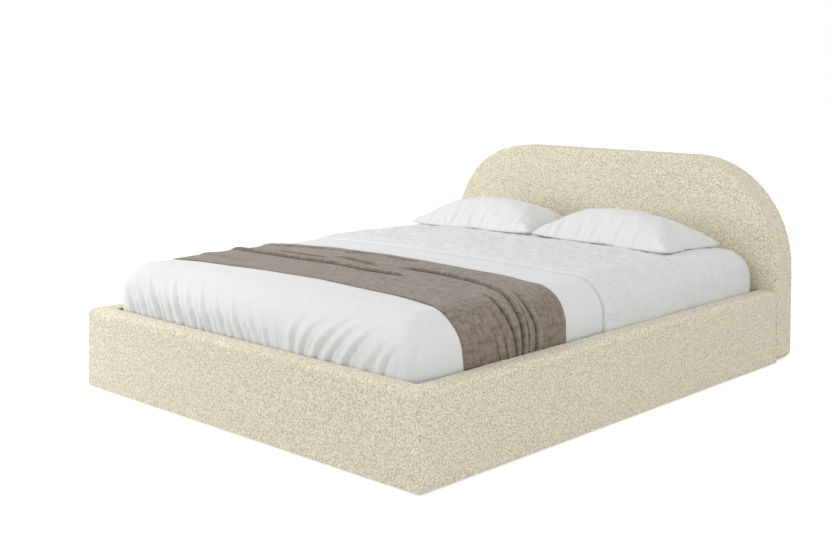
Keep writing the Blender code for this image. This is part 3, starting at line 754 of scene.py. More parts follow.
def make_rails_cover():
    """One boucle cover over the footboard and both rails, soft at the corners, with no seam in sight."""
    nodes = ("side_rail_cover_left", "side_rail_cover_right", "footboard_cover")
    low, high = box_of(*nodes)
    rail_low, rail_high = box_of("side_rail_cover_right")
    foot_high = box_of("footboard_cover")[1]
    half, foot, top = high[0], low[1], high[2]
    stations = rail_stations((half, foot), (rail_low[0], foot_high[1]), rail_high[1])
    section = rail_section(top)
    points = []
    for outer, inner in stations:
        outer, inner = Vector((*outer, 0)), Vector((*inner, 0))
        across = inner - outer
        wide = across.length
        way = across / wide
        low_end, high_end = outer + way * TOP_EDGE_R, inner - way * INNER_EDGE_R
        for kind, amount, z in section:
            if kind == "outer":
                place = outer + way * amount
            elif kind == "inner":
                place = inner - way * amount
            else:
                place = low_end.lerp(high_end, amount)
            points.append((place.x, place.y, z))
    rows, columns = len(stations), len(section)
    faces = grid_faces(rows, columns)[:, ::-1]
    caps = [list(range(columns))[::-1], list(range((rows - 1) * columns, rows * columns))]
    shell = add_mesh("rails_cover", points, faces)
    shape = bmesh.new()
    shape.from_mesh(shell.data)
    shape.verts.ensure_lookup_table()
    for cap in caps:
        shape.faces.new([shape.verts[i] for i in cap])
    shape.to_mesh(shell.data)
    shape.free()
    shell.data.shade_smooth()
    raise_pile(shell, 0.0022)
    keep_inside(shell, low, high)
    line_well(shell, rail_low[0], foot_high[1], top - 0.004)
    return finish_piece(shell, "base", None, nodes)


def line_well(piece, half, foot, top):
    """Dark lining cloth on the inside of the rails, below where the boucle is turned over."""
    mesh = piece.data
    mesh.materials.append(finishes.get("dark_lining"))
    for face in mesh.polygons:
        x, y, z = face.center
        if abs(x) < half + 0.006 and y > foot - 0.006 and z < top:
            face.material_index = 1


def keep_inside(piece, low, high, slack=0.0012):
    """Holds the outer faces where the frame has them, apart from the loops' own height."""
    found = places(piece.data)
    set_places(piece.data, np.clip(found, np.array(low) - slack, np.array(high) + slack))


def headboard_inset(x, z, half, top):
    """How far inside the headboard's outline a point is."""
    corner_x, corner_z = half - HEADBOARD_R, top - HEADBOARD_R
    beyond_x, beyond_z = abs(x) - corner_x, z - corner_z
    if beyond_x > 0 and beyond_z > 0:
        return HEADBOARD_R - math.hypot(beyond_x, beyond_z)
    return min(half - abs(x), top - z)


def make_headboard_cover():
    """The padded headboard: wide round corners, a soft rolled rim, and a lined panel in its back."""
    low, high = box_of("headboard_cover")
    half, top, bottom = high[0], high[2], low[2]
    centre_x, centre_z = half - HEADBOARD_R, top - HEADBOARD_R
    foot_r = 0.030
    outline = arc_points((half - foot_r, bottom + foot_r), foot_r, -90, 0, 4)
    outline += arc_points((centre_x, centre_z), HEADBOARD_R, 0, 90, 40)
    outline += arc_points((-centre_x, centre_z), HEADBOARD_R, 90, 180, 40)
    outline += arc_points((-half + foot_r, bottom + foot_r), foot_r, 180, 270, 4)
    shape = bmesh.new()
    front = [shape.verts.new((x, low[1], z)) for x, z in outline]
    back = [shape.verts.new((x, high[1] - 0.0005, z)) for x, z in outline]
    shape.faces.new(front)
    shape.faces.new(back[::-1])
    for i in range(len(outline)):
        j = (i + 1) % len(outline)
        shape.faces.new((front[j], front[i], back[i], back[j]))
    rims = [e for e in shape.edges if abs(e.verts[0].co.y - e.verts[1].co.y) < 1e-6]
    bmesh.ops.bevel(shape, geom=rims, offset=HEADBOARD_EDGE_R, segments=5, profile=0.5, affect="EDGES")
    piece = add_bmesh("headboard_cover_padded", shape, recalculate=True)
    fine = piece.modifiers.new("even grain", "REMESH")
    fine.mode = "VOXEL"
    fine.voxel_size = FINE_STEP
    fine.use_smooth_shade = True
    apply_modifiers(piece)
    found = places(piece.data)
    for i, (x, y, z) in enumerate(found):
        inset = headboard_inset(x, z, half, top)
        if y > high[1] - 0.012 and inset > 0.0215 and z > bottom + 0.0215:
            found[i, 1] = high[1] - 0.0065
    set_places(piece.data, found)
    raise_pile(piece, 0.0028)
    keep_inside(piece, low, high)
    return finish_piece(piece, "base", None, ["headboard_cover"])


# ---------------------------------------------------------------- bedding


class BedForm:
    """The soft shape of the made-up mattress, which every layer of bedding follows."""

    def __init__(self):
        low, high = box_of("fitted_sheet")
        self.half = high[0] + 0.001
        self.foot = low[1]
        self.head = high[1]
        self.top = high[2] + 0.0095
        self.hem = low[2]
        coverlet_low, coverlet_high = box_of("coverlet")
        self.coverlet_hem = coverlet_low[2]
        self.fold_y = coverlet_high[1]
        throw_low, throw_high = box_of("throw")
        self.throw_hem = throw_low[2]
        self.throw_y = (throw_low[1], throw_high[1])
        self.well_half = box_of("side_rail_cover_right")[0][0]
        self.well_foot = box_of("footboard_cover")[1][1]
        self.rail_top = box_of("footboard_cover")[1][2]

    def crown(self, x, y):
        """The mattress stands a little higher along its middle, and sinks towards the head."""
        across = np.cos(np.clip(np.abs(x) / self.half, 0, 1) * math.pi / 2)
        along = smooth_step(self.foot, self.foot + 0.22, y) * smooth_step(self.head, self.head - 0.25, y)
        return CROWN * across * along - 0.018 * smooth_step(0.0, 0.75, y)

    def wrap(self, points):
        """Puts points of a plain box onto the soft form: a wide roll above, upright corners tighter."""
        low = np.array((-self.half + FORM_EDGE_R, self.foot + FORM_EDGE_R, -10.0))
        high = np.array((self.half - FORM_EDGE_R, self.head - FORM_EDGE_R, self.top - FORM_EDGE_R))
        inner = np.clip(points, low, high)
        out = points - inner
        headward = smooth_step(0.15, self.head - 0.05, points[:, 1])
        left_foot = smooth_step(-0.45, -0.75, points[:, 0]) * smooth_step(-0.84, -0.95, points[:, 1])
        square = 2 + 2.0 * np.maximum(headward, 0.75 * left_foot)
        lifted = 0.0
        for _ in range(4):
            power = 2.3 + 4.5 * smooth_step(0.85, 0.0, lifted)
            sideways = (np.abs(out[:, 0]) ** power + np.abs(out[:, 1]) ** power) ** (1 / power)
            reach = (sideways ** square + np.abs(out[:, 2]) ** square) ** (1 / square)
            lifted = np.clip(out[:, 2] / reach, 0, 1)
        placed = inner + out * (FORM_EDGE_R / reach)[:, None]
        placed[:, 2] += self.crown(placed[:, 0], placed[:, 1]) * lifted
        return placed

    def tuck(self, points):
        """Holds cloth inside the rails where it goes down between them and the mattress."""
        points = np.array(points)
        down = self.rail_top - points[..., 2]
        edge = INNER_EDGE_R - np.clip(down, 0, INNER_EDGE_R)
        bend = INNER_EDGE_R - np.sqrt(np.clip(INNER_EDGE_R ** 2 - edge ** 2, 0, None))
        slack = np.where(down > 0, bend, 1.0)
        reach = self.well_half - 0.0008 + slack
        points[..., 0] = np.clip(points[..., 0], -reach, reach)
        points[..., 1] = np.maximum(points[..., 1], self.well_foot + 0.0008 - slack)
        return points

    def arch(self, along, y, off):
        """A point of cloth laid across the bed: along is its distance from the middle, over the edge."""
        radius = FORM_EDGE_R + off
        flat = self.half - FORM_EDGE_R
        reach = np.abs(along)
        angle = np.clip((reach - flat) / radius, 0, math.pi / 2)
        drop = np.clip(reach - flat - radius * math.pi / 2, 0, None)
        x = np.sign(along) * (np.minimum(reach, flat) + radius * np.sin(angle))
        z = self.top - FORM_EDGE_R + radius * np.cos(angle) - drop
        facing = np.stack((np.sign(along) * np.sin(angle), np.zeros_like(x), np.cos(angle)), axis=-1)
        z = z + self.crown(x, y) * facing[..., 2]
        return np.stack((x, y, z), axis=-1), facing

    def reach_to(self, height, off):
        """How far cloth goes from the middle, over the edge, to hang down to this height."""
        radius = FORM_EDGE_R + off
        return self.half - FORM_EDGE_R + radius * math.pi / 2 + self.top - FORM_EDGE_R - height


def facings(points, faces):
    """The direction that a grid of quads faces at each of its points."""
    a, b, c, d = (points[faces[:, i]] for i in range(4))
    across = np.cross(c - a, d - b)
    total = np.zeros_like(points)
    for i in range(4):
        np.add.at(total, faces[:, i], across)
    return total / np.linalg.norm(total, axis=1, keepdims=True)


def form_grid(form, xs, ys, hem, z_step, ends):
    zs = np.concatenate((spread(hem, form.top - FORM_EDGE_R, z_step),
                         spread(form.top - FORM_EDGE_R, form.top, z_step * 1.4)[1:]))
    return open_box(xs, ys, zs, ends)


def make_mattress():
    """The mattress: a filled block with soft edges and a piped seam round the bottom."""
    low, high = box_of("mattress")
    xs, ys = spread(low[0], high[0], 0.04), spread(low[1], high[1], 0.04)
    zs = spread(low[2], high[2], 0.012)
    points, faces = open_box(xs, ys, zs, ("foot", "head"))
    soft_r = FORM_EDGE_R - 0.007
    inner = np.clip(points, (low[0] + soft_r, low[1] + soft_r, -10),
                    (high[0] - soft_r, high[1] - soft_r, high[2] - soft_r))
    out = points - inner
    points = inner + out / np.linalg.norm(out, axis=1, keepdims=True) * soft_r
    piece = add_mesh("mattress_filled", points, faces)
    shape = bmesh.new()
    shape.from_mesh(piece.data)
    rim = [e for e in shape.edges if e.is_boundary]
    bmesh.ops.holes_fill(shape, edges=rim)
    bmesh.ops.recalc_face_normals(shape, faces=shape.faces)
    shape.to_mesh(piece.data)
    shape.free()
    finish_piece(piece, "platform", "ticking", ["mattress"])
    smooth_mesh(piece, 60)
    right, left, foot, head = high[0] - soft_r, low[0] + soft_r, low[1] + soft_r, high[1] - soft_r
    corner = []
    turns = (((right, foot), -90), ((right, head), 0), ((left, head), 90), ((left, foot), 180))
    for centre, start in turns:
        corner += arc_points(centre, soft_r, start, start + 90, 6)
    loop = [(x, y, low[2] + 0.0045) for x, y in corner + corner[:1]]
    welt = path_piece("mattress_welt", [loop])
    run_tree(welt, welt_tree, {"Welt Radius": 0.004}, "piping")
    smooth_mesh(welt)
    return finish_piece(welt, "platform", None)


def make_fitted_sheet():
    """The fitted sheet, stretched over the mattress, creased where it shows beside the pillows."""
    form = BedForm()
    fold = form.fold_y
    ys = np.concatenate((spread(form.foot, fold - 0.03, 0.045), spread(fold - 0.012, fold + 0.012, 0.002),
                         spread(fold + 0.022, form.head, 0.0085)))
    xs = spread(-form.half, form.half, 0.0105)
    points, faces = form_grid(form, xs, ys, form.hem, 0.010, ("foot", "head"))
    placed = form.wrap(points)
    facing = facings(placed, faces)
    proud = smooth_step(fold - 0.001, fold + 0.006, placed[:, 1])
    creased = smooth_step(fold + 0.01, fold + 0.09, placed[:, 1])
    long_ripples = ripple(placed, (9, 34, 20), (4.1, 2.2, 0.3), 3)
    sharp = 1 - np.abs(ripple(placed, (13, 30, 14), (1.7, 9.2, 3.3), 2)) * 2.2
    side = smooth_step(0.45, 0.95, np.abs(facing[:, 0]))
    near_pillows = 1 - 0.5 * smooth_step(fold + 0.5, fold + 0.8, placed[:, 1])
    creases = 0.0062 * long_ripples + 0.0060 * np.clip(sharp, 0, 1)
    lift = creased * near_pillows * creases * (1 - 0.75 * side)
    hanging = side * creased * 0.0016 * ripple(placed, (3, 22, 3.5), (0.4, 6.2, 1.3), 2)
    off = proud * TURN_OVER_OFF + lift + hanging
    piece = add_mesh("sheet_stretched", form.tuck(placed + facing * off[:, None]), faces)
    thicken(piece, CLOTH_T)
    smooth_mesh(piece)
    finish_piece(piece, "platform", "sheet_cotton", ["fitted_sheet"])
    return piece


# Where each gather of the coverlet meets the hem, how wide it is, how strong, and how far up it goes
Gather = namedtuple("Gather", "place width strength rise")
GATHERS = (
    Gather(-0.745, 0.010, 0.6, 0.9), Gather(-0.700, 0.012, 0.9, 1.2), Gather(-0.655, 0.008, 0.6, 0.9),
    Gather(-0.610, 0.011, 0.9, 1.1), Gather(-0.568, 0.008, 0.5, 0.8), Gather(-0.525, 0.012, 1.1, 1.25),
    Gather(-0.482, 0.008, 0.6, 0.9), Gather(-0.440, 0.009, 0.8, 1.1), Gather(-0.385, 0.012, 1.1, 1.25),
    Gather(-0.345, 0.007, 0.5, 0.8), Gather(-0.300, 0.010, 0.9, 1.15), Gather(-0.255, 0.007, 0.6, 0.9),
    Gather(-0.215, 0.010, 1.0, 1.2), Gather(-0.170, 0.007, 0.5, 0.9), Gather(-0.130, 0.010, 0.9, 1.1),
    Gather(-0.085, 0.008, 0.6, 0.9), Gather(-0.035, 0.011, 1.0, 1.15), Gather(0.010, 0.008, 0.6, 0.9),
    Gather(0.052, 0.010, 0.9, 1.1), Gather(0.105, 0.009, 0.8, 1.0), Gather(0.155, 0.008, 0.6, 0.9),
    Gather(0.215, 0.011, 0.9, 1.15), Gather(0.262, 0.010, 0.9, 1.2), Gather(0.325, 0.013, 1.0, 1.3),
    Gather(0.385, 0.012, 0.9, 1.25), Gather(0.460, 0.015, 1.1, 1.2), Gather(0.555, 0.020, 0.7, 1.0),
)


def gather_field(x, z, form):
    """Gathers on the foot drop: soft ridges that start under the edge and fan out to both sides."""
    height = (z - form.coverlet_hem) / 0.165
    lean = -0.095 + 0.24 * smooth_step(-0.05, 0.50, x)
    at_hem = x - lean * np.clip(height, 0, 1.2) ** 1.5
    total = np.zeros_like(x)
    for gather in GATHERS:
        distance = at_hem - gather.place
        ridge = np.exp(-(distance / gather.width) ** 2)
        valley = np.exp(-((distance - 1.4 * gather.width) / (0.7 * gather.width)) ** 2)
        fade = 1 - smooth_step(0.35 * gather.rise, gather.rise, height)
        total += gather.strength * fade * (ridge - 0.65 * valley)
    return total


def hospital_corner(x, z, form):
    """The folded-in corner at the right end of the foot drop: a flat flap, edged by a curved valley."""
    height = np.clip((z - form.coverlet_hem) / 0.16, 0, 1)
    edge = 0.660 + 0.125 * height ** 2.2
    inside = smooth_step(edge - 0.004, edge + 0.012, x)
    ridge = np.exp(-((x - edge + 0.022) / 0.016) ** 2)
    valley = np.exp(-((x - edge) / 0.008) ** 2)
    return (0.0020 * inside + 0.0060 * ridge - 0.0045 * valley) * smooth_step(1.0, 0.40, height)


def make_coverlet():
    """The coverlet over the foot half: smooth on top, gathered and tucked in at the foot."""
    form = BedForm()
    depth = bpy.context.scene.bed_bedding.gather_depth
    rim = spread(form.half - 0.020, form.half, 0.0025)
    xs = np.concatenate((-rim[::-1], spread(-form.half + 0.026, form.half - 0.026, 0.0064), rim))
    ys = np.concatenate((spread(form.foot, form.foot + 0.020, 0.0025),
                         spread(form.foot + 0.026, form.foot + 0.13, 0.008),
                         spread(form.foot + 0.141, form.fold_y, 0.011)))
    points, faces = form_grid(form, xs, ys, form.coverlet_hem, 0.0085, ("foot",))
    placed = form.wrap(points)
    facing = facings(placed, faces)
    at_foot = smooth_step(0.30, 0.85, -facing[:, 1]) * smooth_step(form.half - 0.012, form.half - 0.07,
                                                                   np.abs(placed[:, 0]))
    gathers = gather_field(placed[:, 0], placed[:, 2], form) * at_foot
    uneven = ripple(placed, (55, 1, 13), (2.6, 0.4, 7.1), 2) * smooth_step(0.42, 0.34, placed[:, 2])
    corner = hospital_corner(placed[:, 0], placed[:, 2], form) * smooth_step(0.5, 0.9, -facing[:, 1])
    from_edge = np.maximum(form.half - np.abs(points[:, 0]), points[:, 1] - form.foot)
    seam = np.exp(-(from_edge / 0.0035) ** 2) * smooth_step(0.415, 0.385, placed[:, 2])
    calm = 0.0014 * ripple(placed, (3.0, 4.0, 5.0), (7.7, 1.2, 2.4), 2)
    drop = smooth_step(0.5, 0.95, np.abs(facing[:, 0]))
    hang = drop * 0.0016 * ripple(placed, (2.0, 11.0, 2.0), (3.1, 0.2, 8.4), 2)
    stronger = 1 + 0.35 * smooth_step(0.1, -0.3, placed[:, 0])
    gathers = depth * (gathers * stronger + (0.3 + 0.35 * uneven) * at_foot)
    off = COVERLET_OFF + np.clip(gathers + corner, -0.003, 0.016)
    off = off + 0.0030 * seam + np.clip(calm + hang, -0.0025, 0.0025)
    piece = add_mesh("coverlet_laid", form.tuck(placed + facing * off[:, None]), faces)
    thicken(piece, CLOTH_T)
    smooth_mesh(piece)
    finish_piece(piece, "platform", "coverlet_cotton", ["coverlet"])
    return piece


# The throw's long edges, and its folds, each along a path of (distance from the bed's middle over
# the edge, y); width and height are those of the fold, and crease says how sharp and deep it is
# and how dark the painted shade at its foot is
Fold = namedtuple("Fold", "path width height crease")
THROW_FOOT_EDGE = (
    (-0.97, -0.850), (-0.70, -0.868), (-0.56, -0.839), (-0.35, -0.836), (-0.16, -0.817), (0.07, -0.806),
    (0.32, -0.815), (0.50, -0.816), (0.62, -0.832), (0.74, -0.858), (0.80, -0.850), (0.97, -0.826))
THROW_HEAD_EDGE = (
    (-0.97, -0.330), (-0.74, -0.350), (-0.64, -0.305), (-0.37, -0.283), (0.00, -0.288), (0.50, -0.296),
    (0.64, -0.314), (0.97, -0.320))
THROW_FOLDS = (
    Fold(((0.10, -0.470), (0.34, -0.446), (0.58, -0.480), (0.74, -0.548), (0.97, -0.550)),
         0.012, 0.0080, 1.0),
    Fold(((0.66, -0.470), (0.78, -0.498), (0.88, -0.474), (0.97, -0.484)), 0.009, 0.0062, 0.9),
    Fold(((0.62, -0.600), (0.80, -0.612), (0.89, -0.580), (0.97, -0.572)), 0.011, 0.0062, 0.9),
    Fold(((0.72, -0.530), (0.84, -0.522), (0.97, -0.520)), 0.007, 0.0044, 0.7),
    Fold(((0.76, -0.655), (0.86, -0.640), (0.97, -0.610)), 0.008, 0.0044, 0.8),
    Fold(((0.78, -0.700), (0.88, -0.676), (0.97, -0.650)), 0.009, 0.0038, 0.7),
    Fold(((0.70, -0.790), (0.84, -0.763), (0.97, -0.735)), 0.014, 0.0022, 0.1),
    Fold(((-0.26, -0.443), (-0.06, -0.466), (0.12, -0.500)), 0.010, 0.0070, 1.0),
    Fold(((-0.97, -0.560), (-0.66, -0.556), (-0.38, -0.576), (-0.15, -0.570), (0.07, -0.583),
          (0.34, -0.572)), 0.013, 0.0085, 1.0),
    Fold(((-0.97, -0.420), (-0.70, -0.400), (-0.40, -0.345), (-0.10, -0.335), (0.20, -0.330)),
         0.016, 0.0060, 0.3),
    Fold(((-0.97, -0.700), (-0.80, -0.705), (-0.55, -0.720), (-0.30, -0.720)), 0.030, 0.0060, 0.2),
    Fold(((-0.60, -0.480), (-0.40, -0.485), (-0.15, -0.500)), 0.013, 0.0050, 0.7),
    Fold(((0.15, -0.640), (0.45, -0.650), (0.70, -0.700)), 0.020, 0.0026, 0.1),
)


def follow(stops, along):
    """A smooth line through the stops."""
    stops = np.array(stops)
    shifts = (-0.045, -0.022, 0.0, 0.022, 0.045)
    return sum(np.interp(along + shift, stops[:, 0], stops[:, 1]) for shift in shifts) / len(shifts)


def throw_relief(along, y, reach):
    """The height of the throw's folds at each point, and how much painted shade darkens it at the foot of
    a crease.
    """
    total, shade = np.zeros_like(along), np.zeros_like(along)
    for fold in THROW_FOLDS:
        start, end = fold.path[0][0], fold.path[-1][0]
        distance = (y - follow(fold.path, along)) / fold.width
        fade_in = 1.0 if start < -reach else smooth_step(start, start + 0.16, along)
        fade_out = 1.0 if end > reach else 1 - smooth_step(end - 0.14, end, along)
        fade = fade_in * fade_out
        rise = smooth_step(-1.4 + fold.crease, 0.0, distance)
        fall = np.exp(-(np.clip(distance, 0, None) / 2.2) ** 2)
        dip = np.exp(-((distance + 0.75) / 0.7) ** 2)
        total += 1.15 * fold.height * fade * (rise * fall - 0.35 * fold.crease * dip)
        # Painted shade: a narrow dark band along the foot of each fold's riser
        shade = np.maximum(shade, fade * fold.crease * np.exp(-((distance + 0.42) / 0.17) ** 2))
    return total, shade


def make_throw():
    """The woven throw across the foot half, in long folds that run down over both edges."""
    form = BedForm()
    reach = form.reach_to(form.throw_hem, THROW_OFF)
    alongs = spread(-reach, reach, 0.0115)
    across = spread(0, 1, 1 / 240)
    along, share = np.meshgrid(alongs, across, indexing="ij")
    foot_edge, head_edge = follow(THROW_FOOT_EDGE, along), follow(THROW_HEAD_EDGE, along)
    y = foot_edge + (head_edge - foot_edge) * share
    relief, shade = throw_relief(along, y, reach)
    flat = np.stack((along, y, np.zeros_like(y)), axis=-1).reshape(-1, 3)
    soft = ripple(flat, (5.0, 9.0, 1.0), (2.0, 3.0, 4.0), 2).reshape(along.shape)
    fine = ripple(flat, (9.0, 60.0, 1.0), (8.0, 1.0, 0.5), 2).reshape(along.shape)
    edge_dip = 0.002 * (smooth_step(0.035, 0.0, share) + smooth_step(0.965, 1.0, share))
    lift = np.clip(relief + 0.0022 * soft + 0.0006 * fine - edge_dip, -0.0035, 0.020)
    placed, facing = form.arch(along, y, THROW_OFF)
    placed = form.tuck(placed + facing * lift[..., None])
    rows, columns = along.shape
    piece = add_mesh("throw_draped", placed.reshape(-1, 3), grid_faces(rows, columns))
    layer = piece.data.uv_layers.new(name="cloth")
    loops = np.empty(len(piece.data.loops), int)
    piece.data.loops.foreach_get("vertex_index", loops)
    cloth = np.stack((along, form.throw_y[0] + 0.5 * share), axis=-1).reshape(-1, 2)
    layer.data.foreach_set("uv", cloth[loops].ravel())
    # The painted shade of the creases, kept on the points for the throw's material to darken its colour
    # with
    depth = piece.data.attributes.new("crease_painted_shade", "FLOAT", "POINT")
    depth.data.foreach_set("value", shade.ravel())
    thicken(piece, THROW_T)
    smooth_mesh(piece)
    finish_piece(piece, "platform", "throw_weave", ["throw"])
    hem_rows = []
    for column in (4, columns - 5):
        hem_rows.append([tuple(p) for p in placed[:, column] + facing[:, column] * 0.0004])
    hems = path_piece("throw_hem_stitches", hem_rows)
    run_tree(hems, stitch_tree, {"Spacing": 0.0085, "Stitch Length": 0.0052, "Thread Radius": 0.0006},
             "thread")
    finish_piece(hems, "platform", None)
    return piece


def pillow_case(name, length, depth):
    """Two flat faces sewn together all round, with a little air between them."""
    columns, rows = 66, 42
    shape = bmesh.new()
    for face in (1, -1):
        grid = bmesh.ops.create_grid(shape, x_segments=columns, y_segments=rows, size=1.0)
        for vertex in grid["verts"]:
            u, v = vertex.co.x, vertex.co.y
            air = (1 - u * u) * (1 - v * v)
            vertex.co = (length / 2 * u, depth / 2 * v, face * 0.016 * air ** 0.5)
        if face < 0:
            under = {f for vertex in grid["verts"] for f in vertex.link_faces}
            bmesh.ops.reverse_faces(shape, faces=list(under))
    bmesh.ops.remove_doubles(shape, verts=shape.verts, dist=0.0001)
    return add_bmesh(name, shape)


def stuff(piece, pressure, frames):
    """Fills a sewn case with the cloth solver, and keeps the shape that it takes."""
    scene = bpy.context.scene
    cloth = piece.modifiers.new("stuffing", "CLOTH")
    settings = cloth.settings
    settings.quality = 6
    settings.mass = 0.25
    settings.tension_stiffness = 14
    settings.compression_stiffness = 14
    settings.shear_stiffness = 6
    settings.bending_stiffness = 0.35
    settings.air_damping = 2
    settings.use_pressure = True
    settings.uniform_pressure_force = pressure
    settings.effector_weights.gravity = 0
    cloth.collision_settings.use_collision = False
    cloth.point_cache.frame_start = 1
    cloth.point_cache.frame_end = frames
    for number in range(1, frames + 1):
        scene.frame_set(number)
    apply_modifiers(piece)
    scene.frame_set(1)
    return piece


def fill_case(piece):
    """Fills a case, and gives where its points were before and after."""
    flat = places(piece.data)
    stuff(piece, PILLOW_PRESSURE, STUFFING_FRAMES)
    return flat, places(piece.data)


def puckers(x, y, u, v, upper, seed):
    """How far the case stands out: puckers along its seams, and lumps on top."""
    none = np.zeros_like(x)
    along = ripple(np.stack((x, 0.16 * y, none), axis=-1), (40, 40, 1), (seed, 1.0, 5.0), 2)
    across = ripple(np.stack((0.16 * x, y, none), axis=-1), (36, 36, 1), (1.0, seed, 9.0), 2)
    near_long, near_short = smooth_step(0.30, 0.80, np.abs(v)), smooth_step(0.55, 0.92, np.abs(u))
    lumps = ripple(np.stack((x, y, none), axis=-1), (8, 8, 1), (seed, 2.0 * seed, 0.0), 2)
    push = 0.0095 * along * near_long + 0.0045 * across * near_short
    push = push + 0.0040 * lumps * np.clip(upper * 2, 0, 1)
    return push * smooth_step(1.0, 0.94, np.maximum(np.abs(u), np.abs(v)))


def lay_pillow(name, centre_x, centre_y, rest_z, turn, seed, form):
    """A filled pillow lying on the sheet: flat under its middle, with its corners lifted."""
    length, depth, height = bpy.context.scene.bed_bedding.pillow_size
    piece = pillow_case(name, length * 1.10, depth * 1.16)
    flat, found = fill_case(piece)
    span, flat_span = found.max(0) - found.min(0), flat.max(0) - flat.min(0)
    u = 0.20 * found[:, 0] / (span[0] / 2) + 0.80 * flat[:, 0] / (flat_span[0] / 2)
    v = 0.20 * found[:, 1] / (span[1] / 2) + 0.80 * flat[:, 1] / (flat_span[1] / 2)
    found[:, 0], found[:, 1] = u * length / 2, v * depth / 2
    thick = found[:, 2] / (span[2] / 2)
    upper = np.clip(thick, 0, None)
    lower = np.clip(-thick, 0, None)
    corner = np.clip(np.abs(u), 0, 1) ** 4 * np.clip(np.abs(v), 0, 1) ** 4
    seam_z = 0.0035 + 0.013 * corner
    z = seam_z + (height - 0.012) * upper ** 0.72 - (seam_z - 0.0012) * np.clip(lower * 4, 0, 1)
    pulled = 1 - 0.045 * (1 - v ** 2), 1 - 0.06 * (1 - u ** 2)
    x, y = found[:, 0] * pulled[0], found[:, 1] * pulled[1]
    set_places(piece.data, np.stack((x, y, z), axis=-1))
    out = places(piece.data, "normal")
    push = puckers(x, y, u, v, upper, seed) * (thick > 0)
    x, y, z = (np.stack((x, y, z), axis=-1) + out * push[:, None]).T
    cosine, sine = math.cos(turn), math.sin(turn)
    placed = np.stack((centre_x + x * cosine - y * sine, centre_y + x * sine + y * cosine, z), axis=-1)
    placed[:, 2] += rest_z + form.crown(placed[:, 0], placed[:, 1])
    set_places(piece.data, placed)
    finer = piece.modifiers.new("smooth", "SUBSURF")
    finer.levels = finer.render_levels = 1
    apply_modifiers(piece)
    smooth_mesh(piece)
    return piece


def make_pillows():
    """The two pillows side by side on the sheet, each turned a little."""
    form = BedForm()
    rest = form.top + TURN_OVER_OFF
    for (side, _), turn, seed in zip(SIDES, (0.010, -0.015), (3.0, 7.0)):
        low, high = box_of(f"pillow_{side}")
        middle = (low + high) / 2
        piece = lay_pillow(f"pillow_filled_{side}", middle[0], middle[1], rest, turn, seed, form)
        finish_piece(piece, "platform", "pillow_cotton", [f"pillow_{side}"])


# ---------------------------------------------------------------- frame and fittings


def coat_nodes(finish, prefixes):
    """Gives the frame's own nodes whose names start so their material."""
    found = [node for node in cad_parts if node.startswith(prefixes)]
    if not found:
        raise RuntimeError(f"no node of the frame starts with {prefixes}")
    for node in found:
        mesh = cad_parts[node].data
        mesh.materials.clear()
        mesh.materials.append(finishes.get(finish))


def screw_spots(side):
    """Screw heads on one side of the base: on the hinge plate and the corner brackets."""
    low, high = box_of("hinge_plate_right")
    face_x = high[0] - 0.0035
    inwards = (-side, 0, 0)
    spots = []
    for y in HINGE_SCREW_YS:
        for z in (low[2] + 0.014, high[2] - 0.014):
            spots.append(((side * (face_x - 0.0012), y, z), inwards))
    for end, way in (("foot", 1), ("head", -1)):
        b_low, b_high = box_of(f"corner_bracket_{end}_right")
        wall_y = b_low[1] if way > 0 else b_high[1]
        for z in (b_low[2] + 0.025, b_high[2] - 0.025):
            spots.append(((side * (b_high[0] - 0.0042), wall_y + way * 0.032, z), inwards))
            spots.append(((side * (b_high[0] - 0.032), wall_y + way * 0.0042, z), (0, way, 0)))
    return spots


def add_fasteners(name, body, spots, radius, height):
    """One mesh of low round heads, riding on one body."""
    heads = points_piece(name, spots)
    run_tree(heads, fastener_tree, {"Head Radius": radius, "Head Height": height}, "zinc")
    finish_piece(smooth_mesh(heads, 35), body, None)


def make_screws():
    """The screws of the hinge plates, the brackets and the ledges."""
    spots = [spot for _, side in SIDES for spot in screw_spots(side)]
    ledge_low, ledge_high = box_of("support_ledge_right")
    middle_z = (ledge_low[2] + ledge_high[2]) / 2
    for _, side in SIDES:
        for y in spread(ledge_low[1] + 0.06, ledge_high[1] - 0.06, 0.21):
            spots.append(((side * (ledge_low[0] - 0.0008), y, middle_z), (-side, 0, 0)))
    add_fasteners("base_screws", "base", spots, 0.0052, 0.0024)


def make_rivets():
    """Two rivets at each end of each slat."""
    spots = []
    for number in range(1, SLATS + 1):
        low, high = box_of(f"slat_{number:02d}")
        middle_y = (low[1] + high[1]) / 2
        for _, side in SIDES:
            for shift in (-0.018, 0.018):
                spots.append(((side * (high[0] - 0.012), middle_y + shift, high[2] + 0.0007), (0, 0, 1)))
    add_fasteners("slat_rivets", "platform", spots, 0.0042, 0.0015)


def make_staples():
    """A row of staples round the panel in the headboard's back."""
    low, high = box_of("headboard_back_panel")
    edge = 0.012
    half, top, bottom = high[0] - edge, high[2] - edge, low[2] + edge
    radius = HEADBOARD_R - HEADBOARD_EDGE_R - edge
    line = [(half, bottom)]
    line += arc_points((half - radius, top - radius), radius, 0, 90, 20)
    line += arc_points((-half + radius, top - radius), radius, 90, 180, 20)
    line += [(-half, bottom), (half, bottom)]
    staples = path_piece("back_staples", [[(x, high[1] + 0.0002, z) for x, z in line]])
    run_tree(staples, stitch_tree, {"Spacing": 0.032, "Stitch Length": 0.011, "Thread Radius": 0.0006},
             "zinc")
    finish_piece(staples, "base", None)


